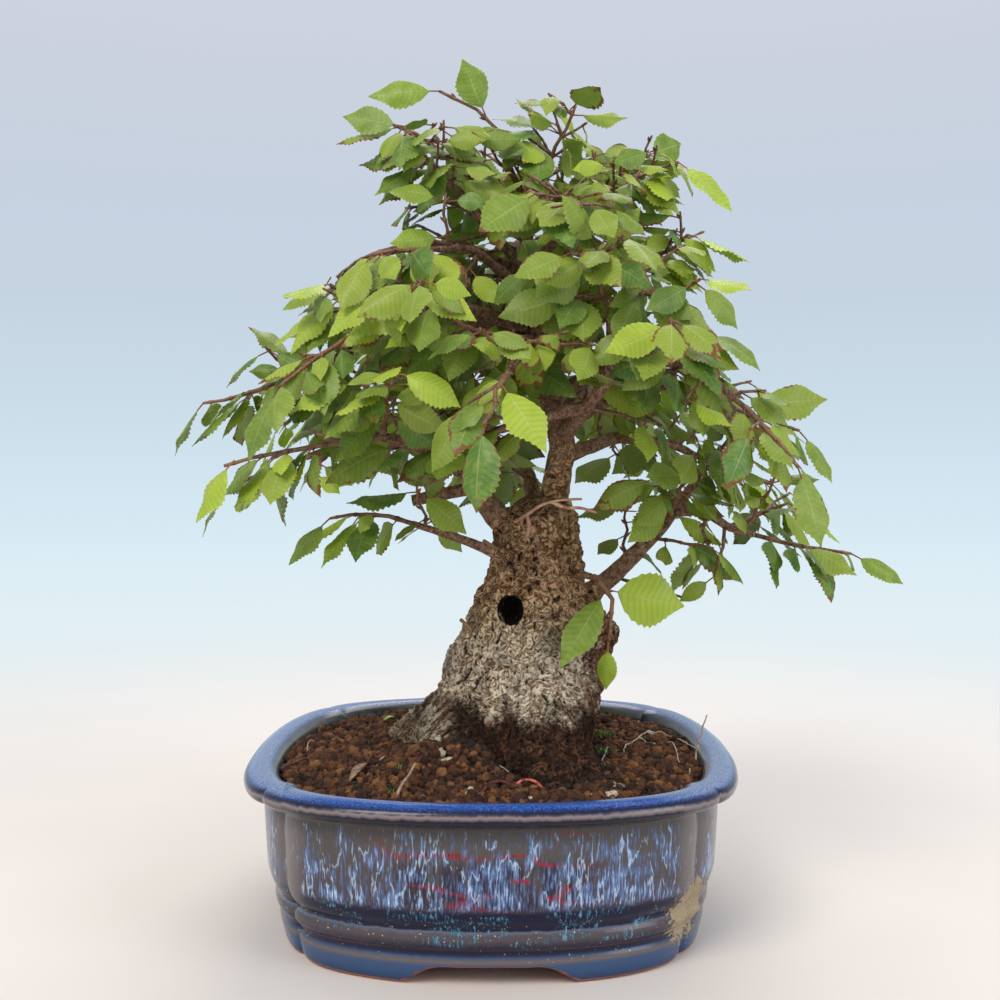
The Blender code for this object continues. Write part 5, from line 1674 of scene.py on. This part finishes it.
@dataclass
class Twiglet:
    """A thin stem: its bends, its radius at both ends and the way that counts as up for its buds."""

    route: list[Vector]
    first: float
    last: float
    level: Vector = field(default_factory=UP.copy)

    def radius(self, bend: float) -> float:
        """The radius at a bend."""
        return self.first + (self.last - self.first) * bend / (len(self.route) - 1)

    def bud(self, segment: int, side: float) -> tuple[Vector, Vector, Vector]:
        """A place near the end of a segment, with the ways ahead and outwards there."""
        near, far = self.route[segment - 1], self.route[segment]
        ahead = (far - near).normalized()
        aside = ahead.cross(self.level).normalized() * side
        return near.lerp(far, 0.6) + aside * 0.7 * self.radius(segment - 0.4), ahead, aside

    def ball(self, spare: float) -> Ball:
        """The stem's coarse closed shape, without its first millimetres."""
        route = [self.route[0].lerp(self.route[1], 0.3), *self.route[1:]]
        bm = bmesh.new()
        tube(bm, route, [self.radius(bend) + spare for bend in range(len(route))], 4)
        bm.verts.index_update()
        faces = [tuple(vert.index for vert in face.verts) for face in bm.faces]
        made = Ball([vert.co.copy() for vert in bm.verts], faces)
        bm.free()
        return made

    def draw(self, bm: BMesh, number: int) -> None:
        """Adds the stem with a swelling and a small bud at each bend."""
        route, radii = [self.route[0]], [self.first]
        for segment in range(1, len(self.route)):
            near, far = self.route[segment - 1], self.route[segment]
            for share, swell in ((0.3, 0.92), (0.52, 1.02), (0.64, 1.28), (0.76, 1.0), (1.0, 0.95)):
                route.append(near.lerp(far, share))
                radii.append(self.radius(segment - 1 + share) * swell)
        paint(tube(bm, route, radii, 6), number)
        for segment in range(1, len(self.route)):
            place, ahead, aside = self.bud(segment, 1 if segment % 2 == 0 else -1)
            tip = place + (ahead * 0.8 + aside * 0.45).normalized() * 2.6 * MM
            bud = [place - ahead * 0.4 * MM, place.lerp(tip, 0.45), place.lerp(tip, 0.8), tip]
            paint(tube(bm, bud, [0.45 * MM, 0.62 * MM, 0.36 * MM, 0.06 * MM], 6), number)


@dataclass
class Crown:
    """Where leaves may hang: the crown's outline as photographed and its depth by height."""

    view: View
    outline: tuple[tuple[float, float], ...] = (
        (-40, 153), (-74, 174), (-104, 183), (-143, 220), (-132, 238), (-93, 272), (-70, 286), (-56, 300),
        (-64, 325), (-40, 350), (8, 361), (24, 366), (63, 356), (91, 326), (102, 288), (109, 268), (128, 233),
        (158, 192), (170, 178), (183, 146), (132, 141), (116, 130), (60, 126), (45, 150), (0, 150),
    )
    depth: tuple[tuple[float, float], ...] = (
        (130, 60), (160, 60), (180, 110), (205, 125), (240, 115), (280, 90), (320, 68), (350, 40), (380, 30),
    )
    widest: float = 153.0
    # Image boxes in millimetres at the pot in which the branches show: least and most x, then z.
    clear: tuple[Point, ...] = ((-20, 4, 166, 193), (4, 58, 205, 228), (18, 34, 172, 206), (4, 52, 168, 180))

    def holds(self, place: Vector) -> bool:
        """Whether a point lies inside the crown and not in front of the branches that show."""
        at = from_pot(place)
        if abs(at.y) > along_pairs(self.depth, at.z) or abs(place.x / MM) > self.widest:
            return False
        x, z = self.view.seen(place)
        shown = [low < x < high and below < z < above for low, high, below, above in self.clear]
        if at.y < 0.0 and any(shown):
            return False
        inside = False
        for (x1, z1), (x2, z2) in zip(self.outline, [*self.outline[1:], self.outline[0]]):
            if (z1 > z) != (z2 > z) and x < x1 + (z - z1) * (x2 - x1) / (z2 - z1):
                inside = not inside
        return inside


@dataclass
class Foliage:
    """Leafy twigs on every seat, and small ones along the limbs."""

    wood: Wood
    view: View
    # Room kept round a new leaf and a new stem, and the gap between a limb and its twig.
    spare: float = 0.45 * MM
    stem_spare: float = 0.3 * MM
    butt_gap: float = 0.3
    # Spacing along a limb of the small twigs, the thickest limb that has them, the share of its
    # length where they start and how far from the bark they end.
    inner_step: float = 11.0
    inner_thickest: float = 5.2
    inner_from: float = 0.22
    inner_clear: float = 5.0 * MM
    tries: int = 16
    # Bends in millimetres after the butt of the two twigs that show plainly.
    plain: dict[str, tuple[Point, ...]] = field(default_factory=lambda: {
        "crest_shoot": ((6, 2, 338), (3, 0, 347), (-7, -1, 356.5), (-24, -2, 364.5)),
        "trunk_bud": ((53, -27, 135), (52, -29, 126), (51, -28, 117)),
    })
    # Youth, scorch and tone of their leaves, in order of how far right each reaches.
    tones: dict[str, tuple[Point, ...]] = field(default_factory=lambda: {
        "crest_shoot": ((0.15, 0.0, 0.5), (0.0, 0.0, 0.45)),
        "trunk_bud": ((0.2, 0.0, 0.35), (0.95, 0.0, 0.9), (0.85, 0.0, 0.9)),
    })
    bushy: tuple[str, ...] = (
        "leader", "crest_left", "crest_right", "dome_left", "dome_right", "top_front", "top_back",
        "top_right",
    )
    # Least and most fold, arch and bend of a new leaf and of one that is packed.
    loose_bends: tuple[Point, ...] = ((-0.05, 0.62), (0.08, 0.42), (-0.10, 0.10))
    packed_bends: tuple[Point, ...] = ((0.0, 0.40), (0.08, 0.22), (-0.07, 0.07))
    # A packed leaf has a point on each face: how far apart they are in millimetres, and their
    # shares of the blade's length from its foot and from its tip.
    packed_thick: float = 0.9
    hub_from_foot: float = 0.42
    hub_from_tip: float = 0.58

    def __post_init__(self) -> None:
        """Starts with an empty crown."""
        self.crown = Crown(self.view)
        self.taken = Taken(0.035)
        self.blades = Blades()
        self.bark = Surface("trunk_and_limbs")

    def kind(self, place: Vector, draw: random.Random) -> Vector:
        """The youth, scorch and tone of a leaf at a place."""
        # The last term gives leaves on the crown's right side more youth, so paler green, as painted light
        # for that lit side.
        youth_and_lit_side = noise.noise(place * 14) + draw.uniform(-0.55, 0.45) + 0.14 * smoothstep(0.03, 0.12, place.x)
        youth = smoothstep(0.12, 0.42, youth_and_lit_side)
        scorch = draw.uniform(0.25, 1.0) if draw.random() < 0.48 - 0.30 * youth else 0.0
        return Vector((youth, scorch, draw.random()))

    @staticmethod
    def shape(draw: random.Random, bends: Sequence[Point]) -> dict[str, float]:
        """How a leaf folds, arches and bends, each drawn from its least to its most."""
        return {name: draw.uniform(*span) for name, span in zip(("fold", "arch", "bend"), bends)}

    def packed_leaves(self, node: str) -> list[Leaf]:
        """The leaves of a packed spray, read from the two ribs that each has."""
        draw = random.Random(f"{SEED} {node}")
        bm = bmesh.new()
        bm.from_mesh(frame["nodes"][node].data)
        bmesh.ops.remove_doubles(bm, verts=bm.verts, dist=2e-6)
        near = {vert: {edge.other_vert(vert) for edge in vert.link_edges} for vert in bm.verts}
        hubs = [vert for vert in bm.verts if len(near[vert]) >= 11]
        found = []
        while hubs:
            rib = hubs.pop()
            others = [
                vert for vert in hubs
                if abs((vert.co - rib.co).length - self.packed_thick * MM) < 0.03 * MM
                and len(near[vert] & near[rib]) >= 10
            ]
            if not others:
                continue
            hubs.remove(others[0])
            shared = near[rib] & near[others[0]]
            middle = (rib.co + others[0].co) / 2
            tip = max((vert.co for vert in shared), key=lambda place: (place - middle).length)
            rest = sum((vert.co for vert in shared), Vector()) / len(shared)
            face = (rib.co - others[0].co).normalized()
            face = face if (middle - rest).dot(face) > 0 else -face
            ahead = tip - middle
            ahead = (ahead - face * ahead.dot(face)).normalized()
            side = ahead.cross(face)
            length = (tip - middle).dot(ahead) / self.hub_from_tip
            half = max(abs((vert.co - middle).dot(side)) for vert in shared)
            foot = middle - ahead * (Leaf.petiole + self.hub_from_foot * length)
            shape = self.shape(draw, self.packed_bends)
            found.append(Leaf(foot, ahead, face, length, half, kind=self.kind(foot, draw), **shape))
        bm.free()
        return found

    def hanging(
        self, place: Vector, ahead: Vector, aside: Vector, draw: random.Random, size: float
    ) -> Leaf:
        """A drooping leaf at a bud, with its upper side turned up, outwards and to the front."""
        way = (ahead * draw.uniform(0.2, 0.7) + aside * draw.uniform(0.8, 1.1)).normalized()
        way = (way - UP * draw.uniform(0.2, 1.0)).normalized()
        outward = place - placed((20.0, 3.0, 0.0))
        outward.z = 0.0
        face = UP * 0.55 + outward.normalized() * 0.7 + FRONT * 0.35
        face += jitter(draw, 0.45)
        side = way.cross(face).normalized()
        length = draw.uniform(17.0, 28.0) * MM * size
        half = length * draw.uniform(0.27, 0.33)
        kind = self.kind(place, draw)
        shape = self.shape(draw, self.loose_bends)
        return Leaf(place, way, side.cross(way), length, half, kind=kind, **shape)

    def fits(self, leaf: Leaf) -> bool:
        """Whether a leaf has free room inside the crown, and fills it if so."""
        if not all(self.crown.holds(leaf.spot(share, 0.0)) for share in (0.4, 1.0)):
            return False
        ball = leaf.ball(self.spare)
        if self.bark.tree.overlap(ball.tree) or not self.taken.free(ball):
            return False
        self.taken.add(leaf.ball(0.0))
        return True

    def main_twig(self, seat: Seat, attempt: int) -> list[Twiglet]:
        """The twig and side shoot that a seat's attempt draws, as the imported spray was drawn."""
        draw = random.Random(f"{SEED} {seat.name} {attempt}")
        ahead = seat.direction.copy()
        lift = UP * draw.uniform(-0.20, 0.22)
        place = seat.place + ahead * self.butt_gap * MM
        aside = ahead.cross(UP).normalized()
        route = [place]
        for bud in range(4):
            step = ahead + aside * 0.22 * (1 if bud % 2 else -1) if bud else ahead
            place = place + step.normalized() * 10.0 * MM * draw.uniform(0.85, 1.15)
            route.append(place)
            ahead = (ahead + lift + jitter(draw, 0.10)).normalized()
        steep = abs((route[-1] - route[0]).normalized().z) > 0.85
        twig = Twiglet(route, min(1.2 * MM, seat.radius), 0.7 * MM, -FRONT if steep else UP)
        place, ahead, aside = twig.bud(2, 1)
        way = (ahead * 0.6 + aside + UP * draw.uniform(-0.35, 0.35)).normalized()
        return [twig, Twiglet([place, place + way * 13.0 * MM], 0.8 * MM, 0.7 * MM, UP)]

    def stems(self, seat: Seat) -> list[Twiglet]:
        """The twigs of a packed spray."""
        if seat.name in self.plain:
            butt = seat.place + seat.direction * self.butt_gap * MM
            bends = [placed(place) for place in self.plain[seat.name]]
            route = [butt, butt + seat.direction * 10.0 * MM / 3, *bends]
            return [Twiglet(route, seat.radius, 0.7 * MM, -FRONT)]
        packed = Surface("spray_" + seat.name)

        def miss(attempt: int) -> float:
            """How far an attempt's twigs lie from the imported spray."""
            places = [place for stem in self.main_twig(seat, attempt) for place in stem.route]
            return sum(packed.distance(place) for place in places)

        return self.main_twig(seat, min(range(16), key=miss))

    def grow(self, stem: Twiglet, chance: float, draw: random.Random, both: bool) -> list[Leaf]:
        """New leaves at a stem's buds and tip where there is room."""
        found = []
        for segment in range(1, len(stem.route)):
            last = segment == len(stem.route) - 1
            sides = (1, -1) if both or last else (1 if segment % 2 else -1,)
            for side in sides:
                if draw.random() > chance:
                    continue
                for _ in range(self.tries):
                    leaf = self.hanging(*stem.bud(segment, side), draw, draw.uniform(0.65, 1.05))
                    if self.fits(leaf):
                        found.append(leaf)
                        break
        return found

    def side_shoots(self, stem: Twiglet, draw: random.Random) -> list[Twiglet]:
        """Short shoots at a stem's buds where there is room."""
        found = []
        for segment in range(1, len(stem.route)):
            for side in (1, -1):
                for _ in range(self.tries):
                    place, ahead, aside = stem.bud(segment, side)
                    way = ahead * draw.uniform(0.1, 0.6) + aside + UP * draw.uniform(0.2, 1.0)
                    route = [place]
                    for _ in range(2):
                        way = (way.normalized() + jitter(draw, 0.25)).normalized()
                        route.append(route[-1] + way * draw.uniform(6.0, 9.0) * MM)
                    shoot = Twiglet(route, 0.7 * MM, 0.5 * MM)
                    if self.crown.holds(route[-1]) and self.taken.free(shoot.ball(self.stem_spare)):
                        self.taken.add(shoot.ball(0.0))
                        found.append(shoot)
                        break
        return found

    def spray(self, name: str, stems: Sequence[Twiglet], leaves: Sequence[Leaf], *stands_for: str) -> None:
        """One piece from its twigs and leaves."""
        bm = bmesh.new()
        bm.verts.layers.float_vector.new("blade")
        bm.verts.layers.float_vector.new("leaf")
        for leaf in leaves:
            self.blades.draw(bm, leaf)
        for stem in stems:
            stem.draw(bm, 1)
        add_piece(name, new_mesh(name, bm), [LEAF, RIND], Slot.LEAF, *stands_for)

    def inner_stem(self, limb: Limb, share: float, turn: float, draw: random.Random) -> Twiglet:
        """A small twig that leaves a limb at a share of its length."""
        place, ahead = along(limb.route(), share)
        around = Matrix.Rotation(turn, 3, ahead) @ ahead.orthogonal().normalized()
        way = (ahead * 0.5 + around + UP * 0.15).normalized()
        place = place + way * limb.radius(share) * 0.6 * MM
        route = [place]
        for step in range(draw.choice((2, 3, 3, 4))):
            aside = way.cross(UP).normalized() * (0.2 if step % 2 else -0.2)
            place = place + (way + aside).normalized() * draw.uniform(7.0, 10.0) * MM
            route.append(place)
            way = (way + jitter(draw, 0.14)).normalized()
        return Twiglet(route, 0.9 * MM, 0.55 * MM, UP if abs(way.z) < 0.85 else -FRONT)

    def inner(self) -> None:
        """Small leafy twigs along the limbs, as far as there is room."""
        draw = random.Random(SEED)
        count = 0
        for limb in LIMBS:
            if limb.beside == BARE or limb.name == "trunk_bud":
                continue
            steps = max(1, round(length_of(limb.route()) / MM / self.inner_step))
            for step in range(steps):
                share = (step + draw.uniform(0.3, 0.9)) / steps
                if limb.radius(share) > self.inner_thickest or share < self.inner_from:
                    continue
                for _ in range(6):
                    stem = self.inner_stem(limb, min(share, 0.97), draw.uniform(0, math.tau), draw)
                    ball = stem.ball(self.stem_spare)
                    tip = stem.route[-1]
                    near_bark = self.bark.distance(tip) < self.inner_clear
                    if not self.crown.holds(tip) or near_bark or not self.taken.free(ball):
                        continue
                    leaves = self.grow(stem, 0.9, draw, False)
                    if len(leaves) < 2:
                        continue
                    self.taken.add(stem.ball(0.0))
                    self.spray(f"inner_twig_{count}", [stem], leaves)
                    count += 1
                    break

    def build(self) -> None:
        """Every packed spray in fine form with more leaves, then the small twigs between them."""
        grown = []
        for seat in self.wood.seats():
            node = "spray_" + seat.name
            stems, leaves = self.stems(seat), self.packed_leaves(node)
            for thing in [*stems, *leaves]:
                self.taken.add(thing.ball(0.0))
            grown.append((seat, node, stems, leaves))
        for seat, node, stems, leaves in grown:
            draw = random.Random(f"{SEED} more {seat.name}")
            if seat.name not in self.plain:
                for stem in stems:
                    leaves += self.grow(stem, 0.85, draw, True)
            if seat.name in self.bushy:
                shoots = self.side_shoots(stems[0], draw)
                for shoot in shoots:
                    leaves += self.grow(shoot, 0.95, draw, True)
                stems = [*stems, *shoots]
            if seat.name in self.tones:
                leaves.sort(key=lambda leaf: leaf.spot(1.0, 0.0).x)
                tones = [Vector(tone) for tone in self.tones[seat.name]]
                leaves = [replace(leaf, kind=tone) for leaf, tone in zip(leaves, tones)]
            self.spray("leaves_" + seat.name, stems, leaves, node)
        self.inner()


def main() -> None:
    """Builds the studio and every sub-assembly."""
    logging.basicConfig(level=logging.INFO, format="%(message)s")
    # Without a seed of its own, noise_vector would shift with the clock.
    noise.seed_set(SEED)
    view = View()
    view.camera()
    Studio().build()
    Pot().build()
    Ground(view).build()
    wood = Wood(view)
    wood.build()
    Foliage(wood, view).build()


if __name__ == "__main__":
    main()
